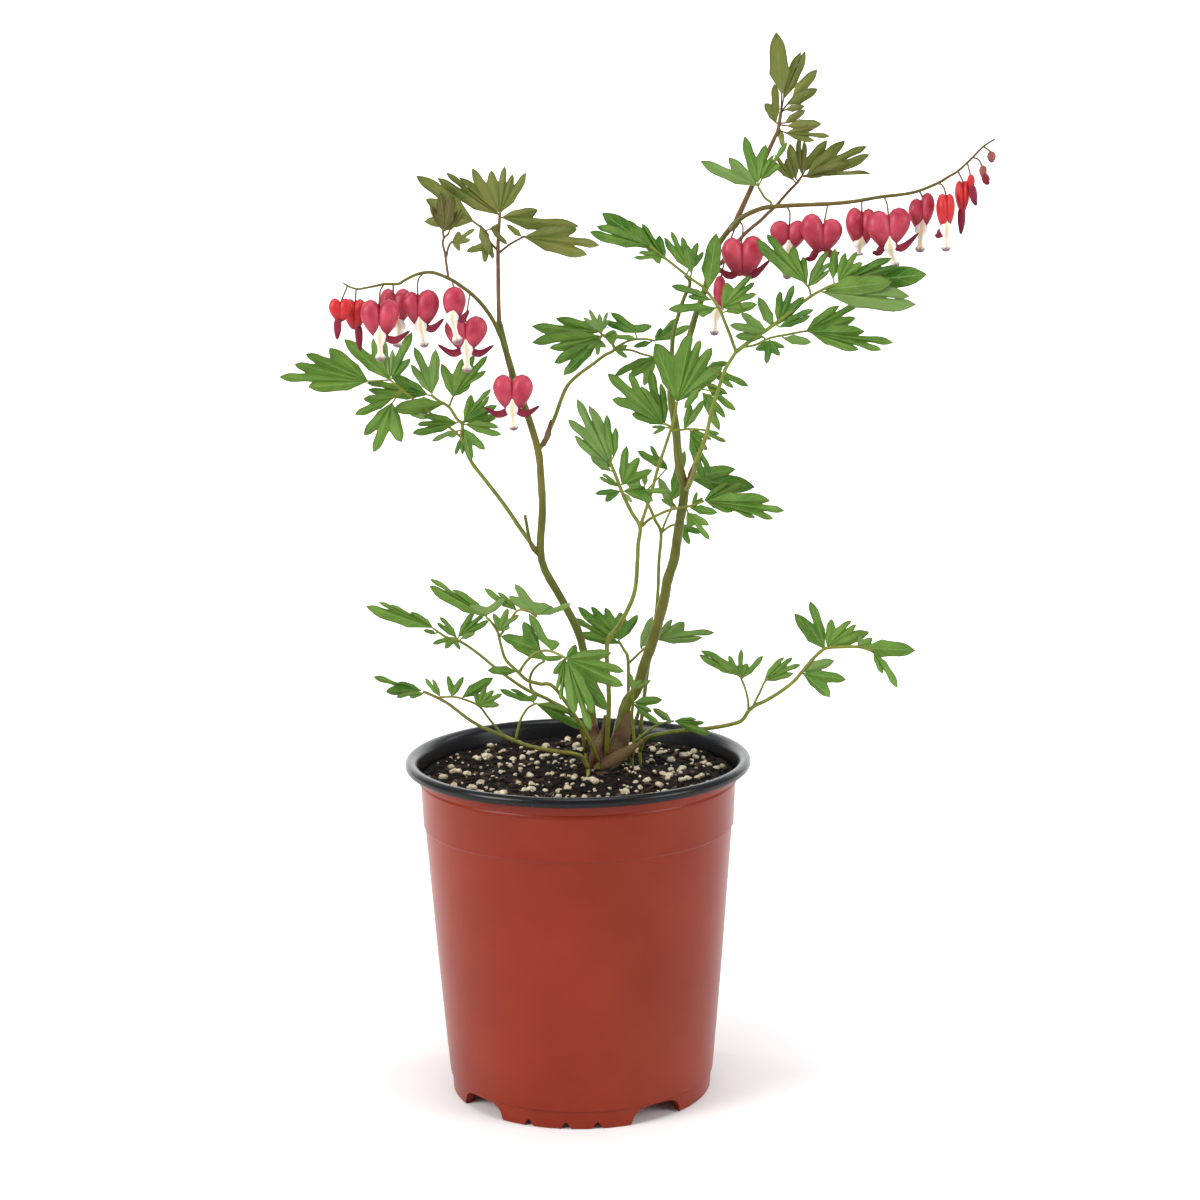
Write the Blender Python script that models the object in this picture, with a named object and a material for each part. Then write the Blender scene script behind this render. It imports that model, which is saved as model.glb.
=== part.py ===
"""A bleeding heart plant growing in a round nursery pot.

Metres, +Z up, the pot stands on Z = 0 with its axis on the Z axis, and the front faces -Y.
Sizes of the pot and the thickness of every stem and leaf are in metres or millimetres as named.
The plant's shape is kept as picture points (x, y, depth): the sight line through x, y meets the
upright plane that lies depth millimetres behind the pot's axis.
"""

import math
import random

import bmesh
import bpy
from mathutils import Euler, Vector

MM = 0.001

# The view that the picture points belong to
FOCAL = 2467.7
CENTRE = 600.0
EYE = Vector((0.0113, -1.149, 0.4445))
PITCH = math.radians(10.146)
ROLL = math.radians(-0.6)

# Pot
POT_HEIGHT = 0.1636
RIM_RADIUS = 0.0825
LIP_HEIGHT = 0.0046
WALL = 0.0014
STEP_HEIGHT = 0.1316
RIDGE_HEIGHT = 0.153
FOOT_HEIGHT = 0.0092
FOOT_RADIUS = 0.0627
PAD_RADIUS = 0.022
POT_SEGMENTS = 36
ARCH_ANGLES = (-52.0, 37.0, 127.0, 218.0)
ARCH_WIDTH = 0.024

# Soil
SOIL_LEVEL = 0.1545
SOIL_GAP = 0.0004
SOIL_BOTTOM = 0.0075
ROOT_DEPTH = 0.1455
HOLE_GAP = 0.0004
GRAINS = 7

# Plant
BLADE = 0.0007
TUBE_SIDES = 1
STAND_OFF = 0.001
REACH = 0.0045
SLACK = 0.00045
SLIVER = 0.0001
POUCH_SIDES = 6

# Colours of the nodes
RED_CLAY = (0.38, 0.085, 0.032)
EARTH = (0.017, 0.010, 0.006)
CANE = (0.16, 0.13, 0.035)
PETIOLE = (0.25, 0.30, 0.07)
LEAF = (0.085, 0.22, 0.035)
LEAF_YOUNG = (0.16, 0.13, 0.03)
HEART = (0.50, 0.03, 0.08)
HEART_RED = (0.62, 0.03, 0.03)
WHITE = (0.85, 0.80, 0.68)

# Stems: (start radius, end radius, points); a point's depth is filled in where it is left out
CANES = {
    "left_cane": [
        (2.1, 1.45, [(598, 757, 9), (590, 700, 10), (581, 640, 10), (562, 600, 5), (541.5, 560, 0),
                     (542.5, 510, -3), (541, 480, -4), (538, 450, -5), (525.5, 409, -3),
                     (515, 382, -2), (504.5, 345, 0), (501, 330, 0), (499, 322, 0)]),
        (1.0, 0.8, [(540, 556, 0), (531, 545, -3), (525, 515, -5)]),
    ],
    "right_cane": [
        (2.9, 1.9, [(613, 765, 6), (617, 740, 8), (623, 715, 10), (628, 700, 11), (636.5, 690, 12),
                    (646, 660, 12), (653, 640, 12), (664, 600, 9), (667.5, 580, 7), (674, 560, 5),
                    (677, 540, 4), (680, 520, 2), (683.5, 500, 1), (684, 485, 0), (680, 470, 2),
                    (678, 455, 4), (676, 430, 6), (673, 410, 7), (671, 395, 8), (673, 376, 9)]),
        (1.1, 0.8, [(672, 385, 9), (672.5, 340, 11), (679, 313, 13), (684, 298, 13),
                    (690, 283, 14), (685, 275, 14)]),
        (1.6, 1.3, [(674, 385, 9), (680, 370, 10), (690.5, 333, 12), (696, 314, 12),
                    (702, 298, 12), (706, 285, 12), (709, 270, 11), (713, 255, 8), (720, 242, 5),
                    (729, 230, 2), (737, 220, 0)]),
        (1.5, 0.8, [(614, 752, 7), (604, 738, 3), (605, 715, 2)]),
        (1.3, 0.7, [(620, 735, 8), (635, 722, 8), (641, 700, 9)]),
        (0.9, 0.7, [(684, 492, 1), (691, 480, 3), (697, 458, 5)]),
    ],
    "left_raceme": [
        (1.05, 0.45, [(506, 350, -3.2), (500, 335, -3.6), (494, 322, -5), (487, 311), (478, 300),
                      (468, 291, -12), (458, 284), (450, 279, -18), (435, 273), (425, 272.5),
                      (415, 275), (405, 280, -22), (398, 284), (385, 284), (375, 286), (365, 288),
                      (358, 289), (350, 287), (343, 283, -26)]),
    ],
    "right_raceme": [
        (1.25, 0.45, [(735, 226, -3.4), (740, 219, -4), (748, 214, -5), (760, 209), (770, 207, -7),
                      (790, 205.5), (825, 204), (845, 202.5, -12), (860, 200.5), (880, 197),
                      (905, 194), (920, 190.5, -16), (938, 183), (948, 177), (958, 171),
                      (972, 158), (984, 146), (995, 139, -20)]),
    ],
}

# Leaves: stems as above, then leaflets (base, lobe tips in order round the edge, depth slope
# along, depth slope across, depth from the stem)
LEAVES = {
    "left_shoot": dict(colour=LEAF_YOUNG, stems=[
        (0.9, 0.6, [(499, 318.6, 1), (498.5, 300, 2), (498, 250, 4), (498.5, 235), (500, 213, 6)]),
        (0.5, 0.45, [(499, 253, 4), (505, 248), (512, 243), (525, 236, 3)]),
        (0.5, 0.45, [(497.5, 250, 4), (490, 242), (484, 230), (478, 225), (470, 219, 8)]),
    ], leaflets=[
        ((500, 213), [(471.5, 169.7), (491, 172), (504.5, 167.4), (512.4, 175.8), (525.8, 174)], .3, .1, 0),
        ((499, 215), [(439, 179), (447.3, 173), (460.4, 178.2)], .3, 0, 2),
        ((474, 221), [(424.5, 222.3), (426.3, 200), (416.7, 176.2)], .1, .1, 0),
        ((490, 242), [(466, 252), (484.5, 263.2), (493, 259.5)], -.4, 0, 0),
        ((490, 228), [(499, 224), (507.8, 244.6)], -.3, 0, -1),
        ((480, 224), [(490, 255)], -.3, 0, 0),
        ((501, 217.6), [(536.6, 209.3), (578, 226)], .2, 0, 0),
        ((522, 237), [(507, 224.5)], .2, 0, 0),
        ((523, 237), [(578, 228), (601, 244.6), (588.3, 254.3)], -.2, .1, 0),
    ]),
    "elbow_sprig": dict(colour=LEAF_YOUNG, stems=[
        (0.5, 0.45, [(448, 275, -18), (446.4, 264), (445, 253), (442.7, 244), (443.6, 238),
                     (442.7, 230.6, -19)]),
        (0.45, 0.45, [(443.6, 238, -18.6), (448.3, 234, -19)]),
        (0.45, 0.45, [(446.4, 256.7, -18.2), (448.3, 247.4), (452, 241, -19)]),
    ], leaflets=[
        ((443, 231), [(430.5, 205.5), (441.5, 191.5)], .2, 0, 0),
        ((449, 232), [(454, 195), (461, 208.5), (465, 206)], -.2, 0, 0),
        ((452, 243), [(459, 231), (475.5, 228.5), (471, 240), (460, 251)], -.2, 0, 0),
    ]),
    "left_leaf": dict(colour=LEAF, stems=[
        (0.85, 0.6, [(535, 549, 1), (520, 528, 4), (510, 513), (500, 499), (482, 476),
                     (471.5, 462), (465, 447), (461.5, 437, 10), (462.3, 424.6), (457, 419),
                     (449, 407, 13), (439, 401), (432.3, 396, 14)]),
        (0.5, 0.45, [(449, 407, 13), (452.3, 397.7, 14)]),
        (0.55, 0.45, [(461, 437, 10), (445, 424), (425, 409), (412, 398), (390, 380, 12)]),
    ], leaflets=[
        ((368.5, 381.5), [(329.7, 347.7), (305.7, 353.8), (294.6, 364), (279, 377), (308.5, 387.5)],
         -.1, .1, 0),
        ((428, 395), [(393, 374.5), (368, 382.5), (369, 389.5)], .2, 0, 1),
        ((432, 394), [(411.5, 365.4), (414.6, 347.7), (436.6, 350.3)], .3, 0, 0),
        ((389, 380), [(345, 339), (374, 338)], .1, 0, 2),
        ((390, 378), [(384, 339), (393, 350)], .3, 0, 1),
        ((391, 380), [(412.3, 332.3), (410.8, 359)], .2, 0, 0),
        ((394, 398), [(362.4, 398.5), (354, 414.6)], -.3, 0, 0),
        ((392, 402), [(363.5, 436.6), (373.4, 453.8), (401.5, 443.8)], -.4, 0, 0),
        ((444, 404), [(391.5, 409)], -.3, 0, 0),
        ((405, 409), [(427.5, 419)], -.2, 0, 0),
        ((458, 423), [(422, 415), (416, 424), (410.8, 432.8)], -.3, 0, 0),
        ((459, 430), [(431.2, 441.5), (453, 438)], -.3, 0, 0),
        ((453, 397), [(441.5, 364.6), (462.8, 359.2)], .3, 0, 0),
        ((454, 396), [(473.8, 355), (487, 356), (486, 371), (470, 386.5)], .2, 0, 0),
        ((464, 421), [(470.8, 394.6), (491, 389), (489.5, 396)], .2, 0, 0),
        ((464, 422), [(497, 405), (509, 414), (496, 418)], .1, 0, 0),
        ((464, 424), [(500, 427), (502.6, 434.6)], -.2, 0, 0),
        ((463, 428), [(486, 450.5), (471.8, 462)], -.4, 0, 0),
        ((461, 437), [(455.4, 455.4), (463, 455)], -.3, 0, 0),
    ]),
    "mid_left_leaf": dict(colour=LEAF, stems=[
        (0.8, 0.6, [(544, 441, -2), (548, 433, 0), (555, 417, 4), (561.7, 398), (568, 385),
                    (578, 375), (591.7, 365), (605, 355), (614, 350, 20), (611, 341),
                    (606, 337), (601, 334, 20)]),
        (0.5, 0.45, [(614, 349, 20), (622, 344), (632, 340), (645, 339), (655, 341, 24)]),
        (0.5, 0.45, [(614, 350, 20), (630, 350), (642, 354), (654, 357, 24)]),
    ], leaflets=[
        ((601, 332), [(557, 318), (532.5, 326)], .2, 0, 1),
        ((602, 336), [(530.8, 342.5), (548.3, 348.3)], -.2, 0, 0),
        ((600, 338), [(553, 363.7), (562.5, 375.8)], -.3, 0, 0),
        ((601, 332), [(583.5, 318), (589.5, 309.6), (600, 314)], .4, 0, 0),
        ((602, 331), [(607.5, 312), (609, 320)], .3, 0, 0),
        ((604, 335), [(615, 330), (636, 338), (613, 345)], -.3, 0, -1),
        ((600, 339), [(586, 350), (597.5, 356), (606, 347.5)], -.5, 0, 0),
        ((636.7, 333), [(604, 321), (611.3, 312.5), (652.5, 326)], .3, 0, 0),
        ((614, 350), [(627.8, 357.8), (628, 345)], -.3, 0, 0),
        ((655, 341), [(660, 328), (675, 318.5), (690, 326)], .3, 0, 0),
        ((652, 342), [(633, 346.7)], -.2, 0, 0),
        ((655, 357), [(645, 385), (629, 377), (615, 375)], .3, 0, 0),
    ]),
    "centre_leaf": dict(colour=LEAF, stems=[
        (0.95, 0.7, [(606, 757, 1), (609, 700, -3), (607, 645, -6), (618, 627), (627.5, 610),
                     (635, 590), (637.5, 560), (638, 545), (640, 527, -10), (632, 513), (625, 499),
                     (620, 487), (615, 474), (610, 462, -10)]),
        (0.7, 0.55, [(640, 527, -10), (650, 497, -11), (658, 468, -12), (664, 450), (670, 432, -16),
                     (674, 418), (677, 402, -18)]),
        (0.5, 0.45, [(670, 431, -16), (680, 430), (690, 429), (705, 430, -17)]),
        (0.6, 0.5, [(641, 527, -10), (650, 519, -9), (662, 513), (673, 509), (690, 506),
                    (704, 501, -9)]),
    ], leaflets=[
        ((612, 468), [(575, 436), (568.5, 420), (577.7, 399), (589.7, 405.7)], .2, 0, 0),
        ((614, 458), [(606.6, 414.6), (616, 427.7)], .2, 0, 0),
        ((622, 485), [(626, 445.7), (639, 457.4), (652, 470)], .2, 0, 0),
        ((612, 472), [(590, 456)], -.2, 0, 0),
        ((619, 487), [(601.5, 473), (598.5, 476)], -.2, 0, 0),
        ((621, 491), [(594, 493.4), (604.6, 502)], -.4, 0, 0),
        ((624, 493), [(632.8, 503)], -.4, 0, 0),
        ((623, 491), [(645, 486), (672, 490), (653.8, 500.8)], -.3, 0, 0),
        ((677, 402), [(655, 342), (691, 331.7), (700.5, 338.3), (712, 346.3), (723, 365)], -.2, 0, 0),
        ((664, 425), [(631, 413.5), (611, 398.3), (606.6, 372), (628.5, 371.7), (640, 385)], -.2, 0, 0),
        ((665, 425), [(650.6, 369), (660.8, 383)], .1, 0, 0),
        ((667, 427), [(651, 427), (652.3, 434)], -.3, 0, 0),
        ((684, 430), [(690.5, 403), (704, 399)], -.2, 0, 0),
        ((690, 431), [(711, 438), (707, 449), (710, 473), (704, 479)], .3, 0, 0),
        ((703, 430), [(720, 434), (727, 442)], -.3, 0, 0),
        ((704, 501), [(728, 481.5), (743.8, 481.3)], .3, 0, 0),
        ((705, 501), [(771, 499.5), (785.2, 510.3), (773.8, 518.8), (755.8, 517.4), (730.8, 512)],
         -.2, 0, 0),
        ((692, 508), [(697, 491.5), (703, 498)], .2, 0, 0),
        ((690, 508), [(718, 512.5)], -.2, 0, 0),
        ((687, 512), [(709.7, 525), (710.3, 540.5), (688.5, 527)], -.4, 0, 0),
    ]),
    "second_centre_leaf": dict(colour=LEAF, stems=[
        (0.8, 0.6, [(640, 733, 20), (645, 690, 22), (652, 640, 24), (656, 615, 23), (658, 590, 21),
                    (659, 560, 19), (661, 533, 18), (655, 520), (650, 508), (645, 500),
                    (640, 495, 18)]),
        (0.5, 0.45, [(661, 533, 18), (667, 518), (671, 510, 18)]),
        (0.5, 0.45, [(661, 533, 18), (670, 526), (678, 524, 18)]),
    ], leaflets=[
        ((645, 487), [(645, 469)], .2, 0, 0),
        ((672, 505), [(659, 478)], .3, 0, 0),
        ((640, 495), [(624, 478), (636, 472)], .3, 0, 0),
        ((677, 507), [(661, 499)], .2, 0, 0),
        ((678, 524), [(702, 533), (690, 545)], -.3, 0, 0),
        ((668, 470), [(659, 456), (650.8, 445), (637.6, 450.6)], .2, 0, 0),
        ((672, 500), [(686, 486), (684.6, 451)], .3, 0, 0),
    ]),
    "right_upper_leaf": dict(colour=LEAF, stems=[
        (0.85, 0.7, [(687.5, 488, -3.4), (690, 482, -7), (693, 475, -12), (697, 460, -20),
                     (703, 445, -25),
                     (707, 432, -26), (712, 410, -25), (718, 390), (725, 370), (732, 358),
                     (736, 352, -24)]),
        (0.65, 0.5, [(736, 352, -24), (730, 335), (724, 320), (720, 310), (712, 298), (703, 287),
                     (693, 280), (680, 270), (665, 258), (650, 246, -28)]),
        (0.85, 0.5, [(736, 352, -24), (750, 341), (765, 331), (780, 320), (795, 308), (810, 297),
                     (820, 291), (830, 286), (840, 283, -27)]),
        (0.5, 0.45, [(744, 347, -24), (755, 345), (770, 338), (785, 335), (800, 332), (807, 331, -24)]),
        (0.45, 0.45, [(811, 297, -25.6), (809, 288), (803, 281, -27)]),
    ], leaflets=[
        ((650, 246), [(588.3, 231.3), (595.3, 225.8)], -.2, 0, 0),
        ((655, 250), [(602.8, 213.3)], .2, 0, 0),
        ((665, 260), [(629, 220.8), (642.5, 224), (660, 236)], .2, 0, 0),
        ((662, 256), [(638, 252), (633, 257.8), (659, 264)], -.3, 0, 0),
        ((690, 270), [(664, 238), (671, 231.8), (682, 237), (698, 243), (704, 252)], .2, 0, 0),
        ((692, 275), [(685.8, 242.5)], -.2, 0, -1),
        ((708, 290), [(716, 233.3)], .1, 0, 0),
        ((712, 300), [(687, 296), (670, 285.3)], -.2, 0, 0),
        ((716, 308), [(667, 309.5), (700, 317)], -.3, 0, 0),
        ((722, 308), [(727, 282), (751.7, 274.7), (755, 281.7), (757, 293.3), (740.8, 307.5)],
         -.2, 0, 0),
        ((724, 312), [(758, 303.7)], -.2, 0, 0),
        ((768, 332), [(728.4, 324.5), (740, 312)], -.2, 0, -1),
        ((774, 328), [(758, 296.7)], .1, 0, 0),
        ((778, 325), [(780, 290), (793.7, 284), (804, 296)], -.1, 0, 0),
        ((778, 328), [(814, 309), (811, 315)], -.1, 0, -1),
        ((765, 337), [(733.8, 336)], -.3, 0, 0),
        ((770, 340), [(785, 348), (780, 356), (766.3, 364.4), (755, 350)], -.4, 0, 0),
        ((782, 338), [(812.3, 342.4)], -.3, 0, 0),
        ((806, 331), [(838.3, 305.2), (857.7, 303.4), (855, 318)], .1, 0, 0),
        ((809, 332), [(865, 331), (894, 342.4), (882.3, 350), (859.4, 350)], -.2, 0, 0),
        ((807, 284), [(755.5, 239), (766, 233.4), (793, 245), (803, 256)], -.1, 0, 0),
        ((808, 287), [(828, 250.5), (830, 263), (829, 270)], .2, 0, 0),
        ((833, 280), [(834.7, 248.5)], .1, 0, 0),
        ((838, 282), [(845, 252), (857, 251), (862.5, 262)], -.1, 0, 0),
        ((846, 281), [(891.4, 257.6), (894, 265), (927, 274)], -.1, 0, 0),
        ((825, 290), [(893, 281.5), (910.5, 298.3), (916.5, 304.5)], -.2, 0, 0),
    ]),
    "low_top_leaf": dict(colour=LEAF, stems=[
        (0.5, 0.45, [(770.5, 202, -7.5), (765, 198, -9), (760, 190), (758, 187, -10)]),
    ], leaflets=[
        ((758, 186), [(701, 161.6), (729.3, 157.6)], .2, 0, 0),
        ((758, 183), [(744.2, 137), (766, 145.5)], .2, 0, 0),
        ((761, 180), [(773, 155), (787, 142), (780, 165)], .1, 0, 0),
    ]),
    "top_shoot": dict(colour=LEAF_YOUNG, stems=[
        (1.1, 0.7, [(738.4, 216, 0), (742, 208, 1), (748, 195, 3), (755, 180), (762, 165),
                    (769, 150), (775, 137), (778, 130), (781, 112, 6)]),
    ], leaflets=[
        ((782, 95), [(775.8, 32.7)], .1, 0, 0),
        ((783, 100), [(800, 53), (804.5, 52)], .2, 0, 1),
        ((792, 98), [(816.5, 70)], .2, 0, 0),
        ((786, 105), [(818.5, 88.3)], -.2, 0, 0),
        ((784, 110), [(805.5, 106)], -.3, 0, 0),
        ((776, 124), [(764, 103), (774, 82.8)], -.2, 0, 0),
        ((784, 124), [(805.8, 109.4)], -.2, 0, 0),
        ((786, 126), [(822.6, 123.8)], -.3, 0, 0),
        ((780, 128), [(783, 148)], -.3, 0, 0),
        ((785, 133), [(815.9, 127), (830.7, 136.3), (815, 141)], -.2, 0, 0),
    ]),
    "second_cluster": dict(colour=LEAF_YOUNG, stems=[
        (0.8, 0.5, [(716, 266, 14), (722, 262, 15), (741, 238, 16), (750, 229), (760, 221),
                    (768, 213), (775, 207, 10), (782, 199), (790, 190), (797, 183), (802, 176, 10)]),
    ], leaflets=[
        ((802, 175), [(799, 137), (804, 141.5)], .2, 0, 0),
        ((796, 180), [(789.6, 143.7)], .1, 0, 0),
        ((794, 181), [(771.4, 160), (774, 154), (786, 158)], -.2, 0, 0),
        ((806, 176), [(843.5, 141), (865.7, 146.8), (868, 155)], .2, 0, 0),
        ((804, 177), [(850, 162), (871.7, 174), (836, 171.3), (824, 175)], -.1, 0, 0),
        ((804, 172), [(826, 141)], .3, 0, 2),
    ]),
    "low_left_leaf": dict(colour=LEAF, stems=[
        (0.75, 0.5, [(586, 752, 6), (578, 722, 0), (552, 701.5, -10), (529, 690.8), (514, 681.5),
                     (495.4, 667.7), (480, 655), (467.7, 646), (457, 640), (446, 637),
                     (434, 629, -22)]),
    ], leaflets=[
        ((433, 628), [(412.3, 611.5), (389.7, 604.3), (380, 601.5), (367.4, 605.7)], .2, 0, 0),
        ((437, 634), [(423, 629.7)], -.2, 0, 0),
        ((455, 637), [(432, 644), (445, 649), (460, 650)], -.4, 0, 0),
        ((457, 638), [(437.4, 622.3), (440, 616.5)], .2, 0, 0),
        ((458, 637), [(473.8, 611.2), (484, 614), (489, 620)], .1, 0, 0),
        ((460, 639), [(476, 632.3)], -.2, 0, 0),
    ]),
    "left_front_leaf": dict(colour=LEAF, stems=[
        (0.8, 0.5, [(598, 761, -3), (584, 730, -16), (555, 688, -28), (540, 684), (527, 680),
                    (520, 674), (517, 671, -34), (506, 660), (501.5, 647.7), (499, 637),
                    (497, 630.8), (490.8, 621.5), (486, 617, -36)]),
        (0.6, 0.5, [(519, 673, -34), (525, 663), (533, 655), (541, 651), (550, 651), (560, 655),
                    (567, 659, -50)]),
        (0.5, 0.45, [(499, 637, -35), (507, 626), (517, 611), (528, 611), (537, 617, -38)]),
    ], leaflets=[
        ((487, 617), [(453, 589), (431.5, 578.5), (430.5, 585.4)], .2, 0, 0),
        ((487, 615), [(469, 605), (506, 597.5)], .2, 0, 0),
        ((499, 631), [(493, 613), (508, 608), (519.5, 614.6), (510, 628)], .1, 0, -2),
        ((517, 611), [(485, 588), (498, 592)], .3, 0, 0),
        ((537, 615), [(508.5, 596.5), (515, 584), (550, 605.7), (571.5, 603.4)], .2, 0, 0),
        ((541, 651), [(500.8, 635.4), (523.8, 620.3)], -.1, 0, 0),
        ((552, 651), [(529, 613), (560, 643)], .1, 0, 0),
        ((517, 672), [(487, 669.5)], -.2, 0, 0),
        ((565, 658), [(552.8, 674), (557, 690), (560, 701), (568, 697)], -.3, 0, 0),
        ((567, 660), [(575, 715), (591.7, 732), (594, 715)], -.4, 0, 0),
        ((567, 659), [(606.7, 709.7), (624, 685), (624.7, 670.8), (612, 651.7)], -.1, 0, 0),
        ((566, 658), [(575, 644), (600, 651)], .2, 0, 0),
    ]),
    "rim_leaf": dict(colour=LEAF, stems=[
        (0.85, 0.6, [(588, 768, -9), (583, 758, -11), (575, 754, -13), (552, 750.8), (529, 746),
                     (517, 741.5, -20), (506, 737), (490.8, 730.8), (480, 726), (467.7, 718.5),
                     (455.4, 709), (446, 702.3), (433.8, 696), (423, 691.5, -30)]),
        (0.5, 0.45, [(503, 735.6, -21), (493.8, 724.6), (487.7, 717), (481.5, 708.5),
                     (475.4, 703.8), (466, 700), (455, 697), (440, 697, -30)]),
        (0.55, 0.45, [(515.4, 740.8, -20), (520, 721.5), (524.6, 712.3), (529, 707), (537, 703, -24)]),
    ], leaflets=[
        ((422, 691), [(396, 681.5), (372.3, 675.4), (385, 690.8)], -.3, 0, 0),
        ((425, 693), [(410, 698), (395, 697)], -.4, 0, 0),
        ((440, 697), [(425.4, 678), (433, 679)], .3, 0, 0),
        ((452, 697), [(447.6, 675.4), (463.8, 676.5)], .3, 0, 0),
        ((462, 698), [(492.3, 677.4)], .3, 0, 0),
        ((478, 706), [(474, 692), (486, 684.6), (493.8, 690), (502.3, 693.5), (499.7, 705)], .1, 0, -1),
        ((534, 702), [(500, 689), (510.8, 688.5), (538, 693)], .2, 0, 0),
        ((536, 704), [(571, 712), (590, 728)], .4, 0, 0),
    ]),
    "dark_leaf": dict(colour=LEAF, stems=[
        (0.7, 0.5, [(598, 745, 18), (570, 712, 8), (545, 698, 2), (532, 690, 0), (530, 680),
                    (532, 672), (538, 665), (545, 661, -4)]),
    ], leaflets=[
        ((543, 660), [(510.8, 643), (520, 643), (533.8, 647), (563, 658)], .2, 0, 0),
    ]),
    "back_cluster": dict(colour=LEAF, stems=[
        (0.8, 0.6, [(625, 744, 20), (628, 700, 24), (628, 660, 28), (624, 650, 30), (618, 640, 31)]),
        (0.55, 0.5, [(627, 665, 27.5), (645, 648, 31), (656, 641, 34)]),
    ], leaflets=[
        ((620, 640), [(638.7, 615), (620.8, 612.5), (605.8, 607.8), (591.7, 606.7), (578, 607)],
         .3, 0, 0),
        ((640, 648), [(652, 616.5), (664, 628)], .3, 0, 0),
        ((619, 644), [(579, 633), (573.3, 617), (585.8, 618.3)], -.1, 0, 0),
        ((657, 640), [(671.7, 618.7), (683, 621), (713.7, 632), (701.7, 637)], .2, 0, 0),
    ]),
    "crown_tuft": dict(colour=LEAF, stems=[
        (0.75, 0.5, [(632, 757, 4), (634, 742, 1), (632, 715, 0), (633, 704, -2), (632, 688, -4)]),
        (0.5, 0.45, [(634, 742, 1), (649, 730), (660, 724), (674, 721, 0)]),
    ], leaflets=[
        ((632, 690), [(630, 673), (642, 680), (651, 680)], .2, 0, 0),
        ((633, 704), [(652.5, 711), (660, 724)], -.3, 0, 0),
        ((633, 703), [(663, 699)], -.2, 0, 0),
        ((672, 722), [(653, 708)], .2, 0, 0),
        ((674, 721), [(697, 719), (705, 722), (711, 734)], -.3, 0, 0),
    ]),
    "right_rim_leaf": dict(colour=LEAF, stems=[
        (0.85, 0.65, [(640, 751, 9), (645, 739, 6), (665, 733, 2), (680, 731), (712, 727.8),
                      (733, 723.8), (742.5, 719.8), (748.5, 711, -3), (756, 705), (765, 701),
                      (780, 692), (793, 682), (801, 673), (810, 662), (820, 652), (827, 648),
                      (840, 647), (860, 647), (873, 651, -8)]),
        (0.5, 0.45, [(748.5, 711, -3), (748, 700), (745, 688), (741, 678, -5)]),
        (0.5, 0.45, [(753, 707, -3.4), (755, 702), (760, 692), (764, 683), (768, 678, -6)]),
    ], leaflets=[
        ((740, 676), [(701.3, 650), (699.6, 654)], .2, 0, 0),
        ((741, 677), [(718, 660.5), (728.9, 655), (740, 665)], .2, 0, 0),
        ((742, 679), [(741, 648.5), (746.5, 663), (762.9, 655)], .1, 0, 0),
        ((764, 681), [(783.4, 656.5), (792, 657), (800, 664), (793, 673)], .1, 0, 0),
        ((801, 672), [(834.8, 659.6)], -.2, 0, 0),
        ((802, 673), [(847.5, 679.3), (831, 697)], -.4, 0, 0),
        ((824, 649), [(795, 613.6)], .3, 0, 1),
        ((825, 648), [(803.4, 618.5), (809.8, 600.7)], .2, 0, 0),
        ((827, 647), [(830.6, 618.4), (850.7, 620), (856, 624)], .1, 0, 0),
        ((830, 647), [(868.3, 631)], .1, 0, 0),
        ((858, 646), [(860.3, 633.3), (872, 637.5), (885.6, 647)], .1, 0, 0),
        ((862, 648), [(915.6, 649.6)], -.2, 0, 0),
        ((873, 651), [(898, 688.6), (882.7, 674.5)], -.4, 0, 0),
    ]),
}

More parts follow.
